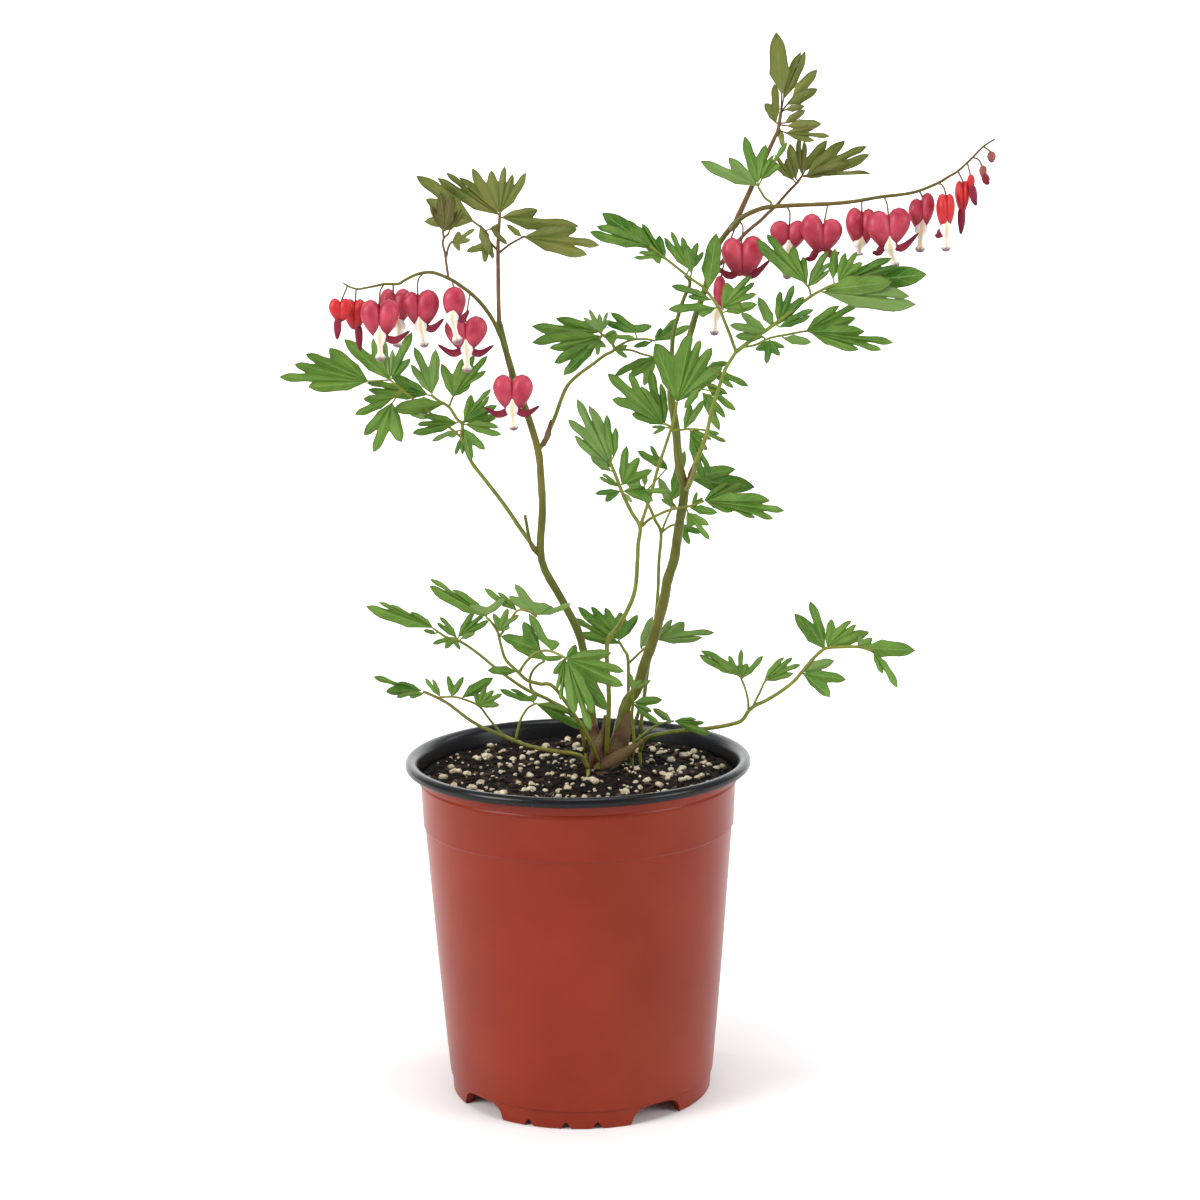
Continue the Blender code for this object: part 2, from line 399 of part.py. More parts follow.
# Blooms: depth from the raceme, hang point, pouches (left, right, top, bottom), reflexed tips,
# inner petals, pedicel from its raceme
BLOOMS = [
    ("left", 0, (341, 302), [(328.5, 341.5, 298, 322), (339, 352, 298, 322)], [((338, 321), (337, 340))],
     None, [(346, 288.5)], HEART_RED),
    ("left", 9, (355.5, 302), [(343, 357, 298.5, 330), (353, 367, 298.5, 330)],
     [((358, 328), (360.5, 351.5))], None, [(356, 289)], HEART_RED),
    ("left", -2, (379, 309), [(360, 381, 299, 338), (378, 400, 299, 338)], [((384, 337), (411, 330))],
     ((380, 338), (380.5, 362)), [(384, 285), (380, 292)], HEART),
    ("left", 11, (393.5, 297), [(379, 397, 288, 326), (393, 413, 288, 326)], [],
     ((400, 327), (396.6, 348)), [(393, 284)], HEART),
    ("left", 1, (418, 299), [(403, 420, 291, 326), (416, 440, 289, 328)], [((426, 327), (444.3, 318))],
     ((421, 328), (425, 348)), [(424, 275), (418, 281)], HEART),
    ("left", -8, (454.5, 293), [(442.5, 466, 286, 320)], [((458, 318), (469.6, 309.7))],
     ((452, 319), (458.5, 345)), [(453, 279)], HEART),
    ("left", -2, (466, 318), [(444, 467, 315.5, 351), (464, 488, 315.5, 351)],
     [((463, 350), (437, 344)), ((469, 350), (494.4, 344.6))], ((467, 351), (467, 373)),
     [(470, 293)], HEART),
    ("left", -7, (511, 384), [(492.5, 513.5, 374, 411), (510.5, 533.5, 374, 411)],
     [((510, 410), (483.6, 407)), ((515, 410), (540.3, 405.4))], ((512, 411), (514, 431)),
     [(508, 353)], HEART),
    ("right", -3, (741, 246), [(721, 743.5, 237, 277), (740.5, 765, 235, 277)],
     [((738, 273), (713.6, 264.6)), ((745, 273), (770.8, 259))], None, [(742, 222), (743, 228)],
     HEART),
    ("right", 14, (721, 279), [(713, 727, 275, 314)], [], ((716, 314), (714, 336)),
     [(737, 224), (727, 250)], HEART),
    ("right", 1, (789, 229), [(769.5, 790.5, 220, 250), (787.5, 808, 220, 250)], [],
     ((788, 250), (787, 280)), [(787, 209), (790, 214)], HEART),
    ("right", -2, (823.5, 227), [(800, 823.5, 213, 253), (820.5, 843, 218, 252)],
     [((818, 251), (804.4, 258.5)), ((826, 251), (840, 252))], None, [(828, 206)], HEART),
    ("right", 1, (862, 217), [(845, 864, 207, 248), (860, 877, 208, 246)], [],
     ((859, 246), (859, 256)), [(862, 202)], HEART),
    ("right", -6, (889, 221), [(866, 891, 210, 250), (887, 911, 207, 246)],
     [((884, 247), (872, 252)), ((894, 246), (919, 232.5))], ((890, 248), (896, 268)),
     [(884, 198.5), (887, 204)], HEART),
    ("right", 3, (922, 196), [(908, 925, 198, 232), (920, 935, 192, 228)], [],
     ((921, 231), (920, 253)), [(919, 191)], HEART),
    ("right", -5, (946, 196), [(936, 948.5, 193, 232), (944, 955, 193, 230)],
     [((943, 230), (934.5, 235))], ((946, 231), (946, 252)), [(938, 184.5), (943, 186)], HEART_RED),
    ("right", 2, (963, 182), [(954.5, 964, 180, 213), (961, 970, 180, 213)],
     [((962, 211), (960.7, 235))], None, [(959, 172.5)], HEART_RED),
    ("right", -1, (970.5, 176), [(967, 975, 174, 190)], [((971.5, 188), (976.5, 206))], None,
     [(968, 163)], HEART_RED),
    ("right", 1, (982, 167), [(979, 987, 165, 178)], [((984, 176), (990, 183))], None,
     [(973, 157.5), (979, 160)], HEART_RED),
    ("right", 0, (991, 152), [(987, 996, 151, 163)], [], None, [(984, 147)], HEART_RED),
]


def clear():
    for ob in list(bpy.data.objects):
        bpy.data.objects.remove(ob, do_unlink=True)


def group(name):
    coll = bpy.data.collections.new(name)
    bpy.context.scene.collection.children.link(coll)
    return coll


def at(x, y, depth):
    """The point in metres where the sight line of a picture point meets a depth in mm."""
    fwd = Vector((0.0, math.cos(PITCH), -math.sin(PITCH)))
    side = Vector((1.0, 0.0, 0.0))
    up = side.cross(fwd)
    side, up = (math.cos(ROLL) * side + math.sin(ROLL) * up,
                -math.sin(ROLL) * side + math.cos(ROLL) * up)
    ray = fwd + side * ((x - CENTRE) / FOCAL) - up * ((y - CENTRE) / FOCAL)
    return EYE + ray * ((depth * MM - EYE.y) / ray.y)


def filled(points):
    """Give every point of a stem a depth, by length between the ones that have it."""
    known = [i for i, p in enumerate(points) if len(p) == 3]
    out = list(points)
    for a, b in zip(known, known[1:]):
        run = [0.0]
        for i in range(a, b):
            run.append(run[-1] + math.dist(points[i][:2], points[i + 1][:2]))
        for i in range(a, b + 1):
            share = run[i - a] / run[-1]
            out[i] = (*points[i][:2], points[a][2] * (1 - share) + points[b][2] * share)
    return out


def nearest(stems, x, y):
    """Depth, place and radius of the stems at the point closest to x, y in the picture."""
    best = None
    for r0, r1, points in stems:
        pts = filled(points)
        last = len(pts) - 1
        for i, (p, q) in enumerate(zip(pts, pts[1:])):
            dx, dy = q[0] - p[0], q[1] - p[1]
            share = ((x - p[0]) * dx + (y - p[1]) * dy) / (dx * dx + dy * dy)
            share = min(max(share, 0.0), 1.0)
            px, py = p[0] + share * dx, p[1] + share * dy
            depth = p[2] + share * (q[2] - p[2])
            away = math.dist((x, y), (px, py))
            if best is None or away < best[0]:
                best = (away, depth, at(px, py, depth), r0 + (r1 - r0) * (i + share) / last)
    return best[1:]


def mesh_object(name, verts, faces, coll):
    bm = bmesh.new()
    made = [bm.verts.new(v) for v in verts]
    for face in faces:
        bm.faces.new([made[i] for i in face])
    bmesh.ops.recalc_face_normals(bm, faces=bm.faces[:])
    mesh = bpy.data.meshes.new(name)
    bm.to_mesh(mesh)
    bm.free()
    ob = bpy.data.objects.new(name, mesh)
    coll.objects.link(ob)
    return ob


def tube(name, points, radii, coll, resolution=TUBE_SIDES):
    """A capped tube through points, with a radius in metres at each."""
    curve = bpy.data.curves.new(name, "CURVE")
    curve.dimensions = "3D"
    curve.bevel_depth = 1.0
    curve.bevel_resolution = resolution
    curve.use_fill_caps = True
    spline = curve.splines.new("POLY")
    spline.points.add(len(points) - 1)
    for slot, place, radius in zip(spline.points, points, radii):
        slot.co = (*place, 1.0)
        slot.radius = radius
    line = bpy.data.objects.new(name + "_line", curve)
    bpy.context.scene.collection.objects.link(line)
    bpy.context.view_layer.update()
    mesh = bpy.data.meshes.new_from_object(line)
    bpy.data.objects.remove(line, do_unlink=True)
    bm = bmesh.new()
    bm.from_mesh(mesh)
    bmesh.ops.remove_doubles(bm, verts=bm.verts[:], dist=0.00001)
    bmesh.ops.triangulate(bm, faces=bm.faces[:])
    bmesh.ops.recalc_face_normals(bm, faces=bm.faces[:])
    bm.to_mesh(mesh)
    bm.free()
    ob = bpy.data.objects.new(name, mesh)
    coll.objects.link(ob)
    return ob


def thinned(places, slack):
    """The indices of the points that a line needs to stay within slack of its full course."""
    keep = {0, len(places) - 1}
    spans = [(0, len(places) - 1)]
    while spans:
        a, b = spans.pop()
        run = places[b] - places[a]
        far, worst = slack, None
        for i in range(a + 1, b):
            share = min(max((places[i] - places[a]).dot(run) / run.length_squared, 0.0), 1.0)
            off = (places[a] + run * share - places[i]).length
            if off > far:
                far, worst = off, i
        if worst:
            keep.add(worst)
            spans += [(a, worst), (worst, b)]
    return sorted(keep)


def stem(name, spec, coll):
    r0, r1, points = spec
    pts = filled(points)
    last = len(pts) - 1
    places = [at(*p) for p in pts]
    keep = thinned(places, SLACK)
    radii = [(r0 + (r1 - r0) * i / last) * MM for i in keep]
    return tube(name, [places[i] for i in keep], radii, coll, 0 if r0 < 1.0 else TUBE_SIDES)


def blade_points(base, tips):
    """Outline of a lobed leaflet in the picture, as faces that fan from its base."""
    bx, by = base
    pts = [(bx, by, 0.0)]
    faces = []
    rim = []

    def add(x, y, lift):
        pts.append((x, y, lift))
        return len(pts) - 1

    def toward(p, share, aside=0.0):
        dx, dy = p[0] - bx, p[1] - by
        return (bx + dx * share - dy * aside, by + dy * share + dx * aside)

    turn = 1.0
    if len(tips) > 1:
        first, final = tips[0], tips[-1]
        cross = (first[0] - bx) * (final[1] - by) - (first[1] - by) * (final[0] - bx)
        turn = 1.0 if cross > 0 else -1.0
    plump = 0.16 if len(tips) == 1 else 0.11
    if len(tips) == 1:
        left = add(*toward(tips[0], 0.5, -plump), 0.6)
        end = add(*tips[0], 0.0)
        right = add(*toward(tips[0], 0.5, plump), 0.6)
        return pts, [(0, end, left), (0, right, end)], [0, left, end, right]
    ends = [add(*t, 0.0) for t in tips]
    start = add(*toward(tips[0], 0.34, -turn * (plump + 0.02)), 0.5)
    near = add(*toward(tips[0], 0.7, -turn * plump), 0.6)
    faces += [(0, near, start), (0, ends[0], near)]
    rim += [0, start, near, ends[0]]
    for i in range(len(tips) - 1):
        p, q = tips[i], tips[i + 1]
        mid = ((p[0] + q[0]) / 2, (p[1] + q[1]) / 2)
        gap = math.dist(p, q) / max(math.dist(p, base), math.dist(q, base))
        notch = add(*toward(mid, 0.84 - 0.22 * min(gap, 1.0)), 0.5)
        faces += [(0, notch, ends[i]), (0, ends[i + 1], notch)]
        rim += [notch, ends[i + 1]]
    far = add(*toward(tips[-1], 0.7, turn * plump), 0.6)
    close = add(*toward(tips[-1], 0.34, turn * (plump + 0.02)), 0.5)
    faces += [(0, close, far), (0, far, ends[-1])]
    rim += [far, close]
    return pts, faces, rim


def leaflet(name, stems, spec, coll):
    """A folded, lobed blade whose base lies inside its stem, or on a short stalk from it."""
    base, tips, along, across, shift = spec
    depth, root, _ = nearest(stems, *base)
    depth += shift
    mean = (sum(t[0] for t in tips) / len(tips), sum(t[1] for t in tips) / len(tips))
    length = math.dist(base, mean)
    ux, uy = (mean[0] - base[0]) / length, (mean[1] - base[1]) / length
    pts, faces, rim = blade_points(base, tips)

    def place(x, y):
        du = (x - base[0]) * ux + (y - base[1]) * uy
        dv = (y - base[1]) * ux - (x - base[0]) * uy
        return at(x, y, depth + (along * du + across * dv) * 0.48)

    flat = [place(p[0], p[1]) for p in pts]
    normal = (place(base[0] + 10, base[1]) - flat[0]).cross(place(base[0], base[1] + 10) - flat[0])
    normal.normalize()
    size = min(1.0, length / 40)
    top = [v + normal * (p[2] * size * 1.6 * MM) for v, p in zip(flat, pts)]
    reach = (root - top[0]).length
    if reach < REACH:
        top[0] = root - normal * BLADE / 2
    low = [v + normal * BLADE for v in top]
    count = len(top)
    shell = list(faces) + [tuple(i + count for i in reversed(f)) for f in faces]
    for a, b in zip(rim, rim[1:] + rim[:1]):
        shell += [(a, b, b + count), (a, b + count, a + count)]
    blade = mesh_object(name, top + low, shell, coll)
    if reach < REACH:
        return [blade]
    inner = place(base[0] + ux * 3, base[1] + uy * 3) + normal * BLADE / 2
    return [blade, tube(name + "_stalk", [root, inner], [0.0005, 0.0005], coll, 0)]


def loft(name, rings, coll):
    """A closed skin over rings of points, with a fan at each end."""
    sides = len(rings[0])
    verts = [v for ring in rings for v in ring]
    verts.append(sum(rings[0], Vector()) / sides)
    verts.append(sum(rings[-1], Vector()) / sides)
    faces = []
    for r in range(len(rings) - 1):
        for s in range(sides):
            a, b = r * sides + s, r * sides + (s + 1) % sides
            faces += [(a, b, b + sides), (a, b + sides, a + sides)]
    tail = (len(rings) - 1) * sides
    for s in range(sides):
        faces.append((len(verts) - 2, (s + 1) % sides, s))
        faces.append((len(verts) - 1, tail + s, tail + (s + 1) % sides))
    return mesh_object(name, verts, faces, coll)


def pouch(name, box, foot, depth, coll):
    """One inflated half of a heart: round on top, drawn in to the foot."""
    x0, x1, y0, y1 = box
    half = (y1 - y0) * 0.115
    rings = []
    mid = (x0 + x1) / 2
    drawn = foot[0] + (mid - foot[0]) * 0.22
    for t, width in ((0.03, 0.5), (0.3, 1.0), (0.65, 0.86), (1.0, 0.26)):
        pull = max(0.0, (t - 0.3) / 0.7) ** 1.6
        cx = mid * (1 - pull) + drawn * pull
        cy = y0 + (y1 - y0) * t
        ring = []
        for s in range(POUCH_SIDES):
            turn = math.tau * s / POUCH_SIDES
            ring.append(at(cx + (x1 - x0) / 2 * width * math.cos(turn), cy,
                           depth + half * width * math.sin(turn)))
        rings.append(ring)
    return loft(name, rings, coll)


def bloom(index, spec, nodes):
    raceme, shift, hang, boxes, reflexes, inner, line, colour = spec
    name = "bloom_%02d" % (index + 1)
    stems = CANES[raceme + "_raceme"]
    depth, root, radius = nearest(stems, *line[0])
    depth_here = depth + shift
    foot = (sum((b[0] + b[1]) / 2 for b in boxes) / len(boxes), max(b[3] for b in boxes))
    size = foot[1] - min(b[2] for b in boxes)
    parts = group(name + "_parts")
    pieces = [pouch("%s_pouch_%d" % (name, i), b, foot, depth_here, parts)
              for i, b in enumerate(boxes)]
    path = [(x, y, depth + shift * 0.5) for x, y in line[1:]]
    path.append((*hang, depth_here))
    path.append((hang[0], hang[1] + size * 0.15, depth_here))
    places = [at(*p) for p in path]
    away = (places[0] - root).normalized()
    places.insert(0, root + away * (radius * MM + STAND_OFF))
    pieces.append(tube(name + "_pedicel", places, [0.0005] * len(places), parts, 0))
    for i, (a, b) in enumerate(reflexes):
        bow = ((a[0] + b[0]) / 2, (a[1] + b[1]) / 2 + abs(b[0] - a[0]) * 0.14)
        start = (a[0] * 0.6 + foot[0] * 0.4, a[1] - 1.5, depth_here)
        pieces.append(tube("%s_reflex_%d" % (name, i),
                           [at(*start), at(*bow, depth_here - 1), at(*b, depth_here - 1.5)],
                           [0.0014, 0.0012, 0.0005], parts, 0))
    fuse(name, pieces, parts, colour, nodes)
    if inner:
        (ax, ay), (bx, by) = inner
        gap = 3.0
        run = [(ax, ay + gap), (ax * 0.6 + bx * 0.4, ay * 0.5 + by * 0.5), (ax * 0.25 + bx * 0.75,
               ay * 0.22 + by * 0.78), (bx, by)]
        tongue = group(name + "_tongue_parts")
        ob = tube(name + "_inner", [at(*p, depth_here) for p in run],
                  [0.0012, 0.0015, 0.0021, 0.0009], tongue, 1)
        fuse(name + "_inner", [ob], tongue, WHITE, nodes)


def paint(ob, colour, rough=0.6):
    mat = bpy.data.materials.new(ob.name)
    mat.use_nodes = True
    shader = mat.node_tree.nodes["Principled BSDF"]
    shader.inputs["Base Color"].default_value = (*colour, 1.0)
    shader.inputs["Roughness"].default_value = rough
    ob.data.materials.clear()
    ob.data.materials.append(mat)


def settled(ob):
    """The object's mesh with its modifiers worked in."""
    bpy.context.view_layer.update()
    graph = bpy.context.evaluated_depsgraph_get()
    return bpy.data.meshes.new_from_object(ob.evaluated_get(graph))


def bodies(bm):
    """The corners of each separate body."""
    left = set(bm.verts)
    found = []
    while left:
        queue = [left.pop()]
        body = set(queue)
        while queue:
            for edge in queue.pop().link_edges:
                for v in edge.verts:
                    if v in left:
                        left.remove(v)
                        body.add(v)
                        queue.append(v)
        found.append(body)
    return found


def drop_flakes(bm):
    """Delete the flat flakes of a few corners that a union can leave beside the body."""
    for body in bodies(bm):
        if len(body) < 8:
            bmesh.ops.delete(bm, geom=list(body), context="VERTS")


def sound(bm):
    """Whether every edge has two faces and the faces hang together as one body."""
    return all(len(e.link_faces) == 2 for e in bm.edges) and len(bodies(bm)) == 1


def drop_slivers(mesh):
    """Collapse the short edges that a union leaves, one by one, where the body stays closed."""
    bm = bmesh.new()
    bm.from_mesh(mesh)
    bmesh.ops.triangulate(bm, faces=bm.faces[:])
    while True:
        short = sorted((e for e in bm.edges if e.calc_length() < SLIVER and collapsible(e)),
                       key=lambda e: e.calc_length())
        used, batch = set(), []
        for edge in short:
            ring = {v for end in edge.verts for e in end.link_edges for v in e.verts}
            if not ring & used:
                used |= ring
                batch.append(edge)
        if not batch:
            break
        for edge in batch:
            a, b = edge.verts
            bmesh.ops.weld_verts(bm, targetmap={b: a})
    drop_flakes(bm)
    if sound(bm):
        bm.to_mesh(mesh)
    bm.free()


def collapsible(edge):
    """An edge can close up when its ends share just the two corners of its own faces."""
    a, b = edge.verts
    near_a = {e.other_vert(a) for e in a.link_edges}
    near_b = {e.other_vert(b) for e in b.link_edges}
    return len(near_a & near_b) == 2 and len(edge.link_faces) == 2


def fuse(name, pieces, parts, colour, nodes):
    """Join the pieces of a node into one closed body, then drop the pieces."""
    body = pieces[0]
    parts.objects.unlink(body)
    nodes.objects.link(body)
    body.name = name
    if len(pieces) > 1:
        join = body.modifiers.new("Join", "BOOLEAN")
        join.operation = "UNION"
        join.operand_type = "COLLECTION"
        join.collection = parts
        join.solver = "MANIFOLD"
        mesh = settled(body)
        body.modifiers.clear()
        body.data = mesh
        drop_slivers(mesh)
        for ob in pieces[1:]:
            bpy.data.objects.remove(ob, do_unlink=True)
    bpy.data.collections.remove(parts)
    body.data.name = name
    paint(body, colour)
    return body


def revolve(name, profile, segments, coll):
    """Spin a closed (radius, height) profile; points on the axis stay single."""
    bm = bmesh.new()
    verts = [bm.verts.new((r, 0.0, z)) for r, z in profile]
    for a, b in zip(verts, verts[1:]):
        bm.edges.new((a, b))
    bmesh.ops.spin(bm, geom=bm.verts[:] + bm.edges[:], cent=(0, 0, 0), axis=(0, 0, 1),
                   angle=math.tau, steps=segments)
    bmesh.ops.remove_doubles(bm, verts=bm.verts[:], dist=0.00001)
    bmesh.ops.recalc_face_normals(bm, faces=bm.faces[:])
    mesh = bpy.data.meshes.new(name)
    bm.to_mesh(mesh)
    bm.free()
    ob = bpy.data.objects.new(name, mesh)
    coll.objects.link(ob)
    return ob


def cutter(ob, coll):
    for old in list(ob.users_collection):
        old.objects.unlink(ob)
    coll.objects.link(ob)
    ob.hide_render = True
    ob.display_type = "WIRE"


def cut(ob, coll):
    mod = ob.modifiers.new("Cut", "BOOLEAN")
    mod.operation = "DIFFERENCE"
    mod.operand_type = "COLLECTION"
    mod.collection = coll
    mod.solver = "MANIFOLD"


def build_pot(nodes):
    lip = POT_HEIGHT - LIP_HEIGHT
    profile = [
        (0.0, 0.0), (PAD_RADIUS, 0.0), (PAD_RADIUS + 0.002, 0.0035), (0.0575, 0.0035),
        (0.059, 0.0), (FOOT_RADIUS, 0.0), (FOOT_RADIUS + 0.0006, FOOT_HEIGHT - 0.001),
        (0.0642, FOOT_HEIGHT), (0.0737, STEP_HEIGHT), (0.0745, STEP_HEIGHT + 0.0008),
        (0.0752, RIDGE_HEIGHT - 0.0008), (0.0759, RIDGE_HEIGHT), (0.0762, lip),
        (RIM_RADIUS - 0.0004, lip), (RIM_RADIUS, lip + 0.002), (RIM_RADIUS - 0.0012, POT_HEIGHT),
        (0.0778, POT_HEIGHT), (0.0762, lip + 0.001), (0.0731, STEP_HEIGHT), (0.0627, 0.0075),
        (0.0, 0.0055),
    ]
    pot = revolve("pot", profile, POT_SEGMENTS, nodes)
    arches = group("pot_cutters")
    for angle in ARCH_ANGLES:
        turn = math.radians(angle - 90)
        bm = bmesh.new()
        bmesh.ops.create_cone(bm, cap_ends=True, cap_tris=False, segments=16, radius1=ARCH_WIDTH / 2,
                              radius2=ARCH_WIDTH / 2, depth=0.016)
        for v in bm.verts:
            x, y, z = v.co
            v.co = Vector((z, x, y * 0.42))
            v.co.x += FOOT_RADIUS - 0.001
            v.co.rotate(Euler((0.0, 0.0, turn)))
        mesh = bpy.data.meshes.new("arch")
        bm.to_mesh(mesh)
        bm.free()
        cutter(bpy.data.objects.new("arch", mesh), arches)
    cut(pot, arches)
    paint(pot, RED_CLAY, 0.35)


def soil_height(x, y):
    mound = 0.0028 * math.exp(-((x - 0.009) ** 2 + (y - 0.008) ** 2) / 0.0009)
    ripple = 0.0007 * math.sin(x * 210 + 1.3) * math.cos(y * 170 - 0.4)
    ripple += 0.0005 * math.sin(x * 390 - y * 260)
    return SOIL_LEVEL + mound + ripple


def build_soil(nodes, roots):
    parts = group("soil_parts")
    wall = 0.0740 - SOIL_GAP
    rings, around = 4, 30
    bm = bmesh.new()
    mid = bm.verts.new((0, 0, soil_height(0, 0)))
    top = []
    for r in range(1, rings + 1):
        radius = wall * r / rings
        ring = []
        for s in range(around):
            turn = math.tau * s / around
            x, y = radius * math.cos(turn), radius * math.sin(turn)
            ring.append(bm.verts.new((x, y, soil_height(x, y))))
        top.append(ring)
    skirt = []
    for radius, z in ((0.0722 - SOIL_GAP, STEP_HEIGHT - 0.003), (0.0622 - SOIL_GAP, SOIL_BOTTOM + 0.0006)):
        skirt.append([bm.verts.new((radius * math.cos(math.tau * s / around),
                                    radius * math.sin(math.tau * s / around), z))
                      for s in range(around)])
    foot = bm.verts.new((0, 0, SOIL_BOTTOM))
    loops = top + skirt
    for s in range(around):
        n = (s + 1) % around
        bm.faces.new((mid, top[0][s], top[0][n]))
        bm.faces.new((foot, skirt[-1][n], skirt[-1][s]))
        for a, b in zip(loops, loops[1:]):
            bm.faces.new((a[s], b[s], b[n], a[n]))
    bmesh.ops.triangulate(bm, faces=bm.faces[:])
    bmesh.ops.recalc_face_normals(bm, faces=bm.faces[:])
    mesh = bpy.data.meshes.new("soil")
    bm.to_mesh(mesh)
    bm.free()
    body = bpy.data.objects.new("soil", mesh)
    parts.objects.link(body)
    pieces = [body]
    draw = random.Random(11)
    while len(pieces) <= GRAINS:
        turn, radius = draw.uniform(0, math.tau), 0.068 * math.sqrt(draw.random())
        x, y = radius * math.cos(turn), radius * math.sin(turn)
        if any(math.dist((x, y), (p.x, p.y)) < r + 0.004 for p, r in roots):
            continue
        bm = bmesh.new()
        size = draw.uniform(0.0012, 0.0022)
        bmesh.ops.create_icosphere(bm, subdivisions=1, radius=size)
        for v in bm.verts:
            v.co = v.co * draw.uniform(0.8, 1.15) + Vector((x, y, soil_height(x, y) + size * 0.35))
        mesh = bpy.data.meshes.new("grain")
        bm.to_mesh(mesh)
        bm.free()
        grain = bpy.data.objects.new("grain", mesh)
        parts.objects.link(grain)
        pieces.append(grain)
    soil = fuse("soil", pieces, parts, EARTH, nodes)
    holes = group("soil_cutters")
    for place, radius in roots:
        bm = bmesh.new()
        bmesh.ops.create_cone(bm, cap_ends=True, cap_tris=False, segments=10,
                              radius1=radius + HOLE_GAP, radius2=radius + HOLE_GAP, depth=0.02)
        for v in bm.verts:
            v.co += Vector((place.x, place.y, ROOT_DEPTH - 0.0004 + 0.01))
        mesh = bpy.data.meshes.new("hole")
        bm.to_mesh(mesh)
        bm.free()
        cutter(bpy.data.objects.new("hole", mesh), holes)
    cut(soil, holes)


def root(name, spec, coll, roots):
    """The straight length of a stem that goes down into its hole."""
    r0, _, points = spec
    top = at(*filled(points)[0])
    roots.append((top, r0 * MM))
    low = Vector((top.x, top.y, ROOT_DEPTH))
    return tube(name + "_root", [low, top + Vector((0, 0, 0.0008))], [r0 * MM, r0 * MM], coll,
                0 if r0 < 1.0 else TUBE_SIDES)


def main():
    clear()
    nodes = group("bleeding_heart_plant")
    roots = []
    build_pot(nodes)
    for name, stems in CANES.items():
        parts = group(name + "_parts")
        pieces = [stem("%s_%d" % (name, i), s, parts) for i, s in enumerate(stems)]
        if name.endswith("cane"):
            pieces.append(root(name, stems[0], parts, roots))
        fuse(name, pieces, parts, CANE, nodes)
    for name, leaf in LEAVES.items():
        parts = group(name + "_parts")
        stems = leaf["stems"]
        pieces = [stem("%s_%d" % (name, i), s, parts) for i, s in enumerate(stems)]
        if stems[0][2][0][1] > 700:
            pieces.append(root(name, stems[0], parts, roots))
        for i, spec in enumerate(leaf["leaflets"]):
            pieces += leaflet("%s_blade_%d" % (name, i), stems, spec, parts)
        fuse(name, pieces, parts, leaf["colour"], nodes)
    for i, spec in enumerate(BLOOMS):
        bloom(i, spec, nodes)
    build_soil(nodes, roots)


main()
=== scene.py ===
# %% [markdown]
# # A bleeding heart plant in its nursery pot
# The solids of the plant are loaded as a fixed frame. Every piece below is then dressed with a finer
# mesh and its finish. All lengths are metres unless a name says mm.

# %% Load the frame
import math
import random

import bmesh
import bpy
import numpy as np
from mathutils import Euler, Matrix, Vector, noise


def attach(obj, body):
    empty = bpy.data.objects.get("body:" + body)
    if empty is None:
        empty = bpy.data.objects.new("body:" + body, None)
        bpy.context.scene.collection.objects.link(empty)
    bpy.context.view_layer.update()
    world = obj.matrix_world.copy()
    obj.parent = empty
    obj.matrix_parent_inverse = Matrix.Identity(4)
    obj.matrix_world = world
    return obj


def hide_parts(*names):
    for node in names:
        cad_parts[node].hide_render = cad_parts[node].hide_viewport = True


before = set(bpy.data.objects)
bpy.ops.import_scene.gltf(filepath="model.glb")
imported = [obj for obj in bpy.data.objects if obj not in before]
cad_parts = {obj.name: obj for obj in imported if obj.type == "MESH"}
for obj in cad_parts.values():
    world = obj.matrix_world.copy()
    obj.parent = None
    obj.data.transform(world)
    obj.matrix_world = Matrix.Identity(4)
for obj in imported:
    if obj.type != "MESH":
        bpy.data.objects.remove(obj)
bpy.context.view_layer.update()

MM = 0.001
print("frame nodes:", len(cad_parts))

# %% [markdown]
# A plant has no drawing, so its shape is kept as picture points: x, y and a depth in millimetres
# behind the pot's axis. The sight line through x, y meets the upright plane at that depth. The
# numbers of the view belong with the points, and the camera at the end uses the same ones.

# %% The view and its sight lines
FOCAL = 2467.7
CENTRE = 600.0
PICTURE = 1200.0
EYE = Vector((0.0113, -1.149, 0.4445))
PITCH = math.radians(10.146)
ROLL = math.radians(-0.6)
SENSOR_MM = 36.0


def view_axes():
    fwd = Vector((0.0, math.cos(PITCH), -math.sin(PITCH)))
    side = Vector((1.0, 0.0, 0.0))
    up = side.cross(fwd)
    return (math.cos(ROLL) * side + math.sin(ROLL) * up,
            -math.sin(ROLL) * side + math.cos(ROLL) * up, fwd)


SIDE, UP, FWD = view_axes()


def at(x, y, depth):
    ray = FWD + SIDE * ((x - CENTRE) / FOCAL) - UP * ((y - CENTRE) / FOCAL)
    return EYE + ray * ((depth * MM - EYE.y) / ray.y)


point_mm = (at(601, 600, 0) - at(600, 600, 0)).x / MM
print("one picture point is %.3f mm at the axis" % point_mm)

# %% [markdown]
# Canes and racemes come first: for each stem its start and end radius in millimetres and the
# points it runs through. A point without a depth gets one by length between its neighbours.

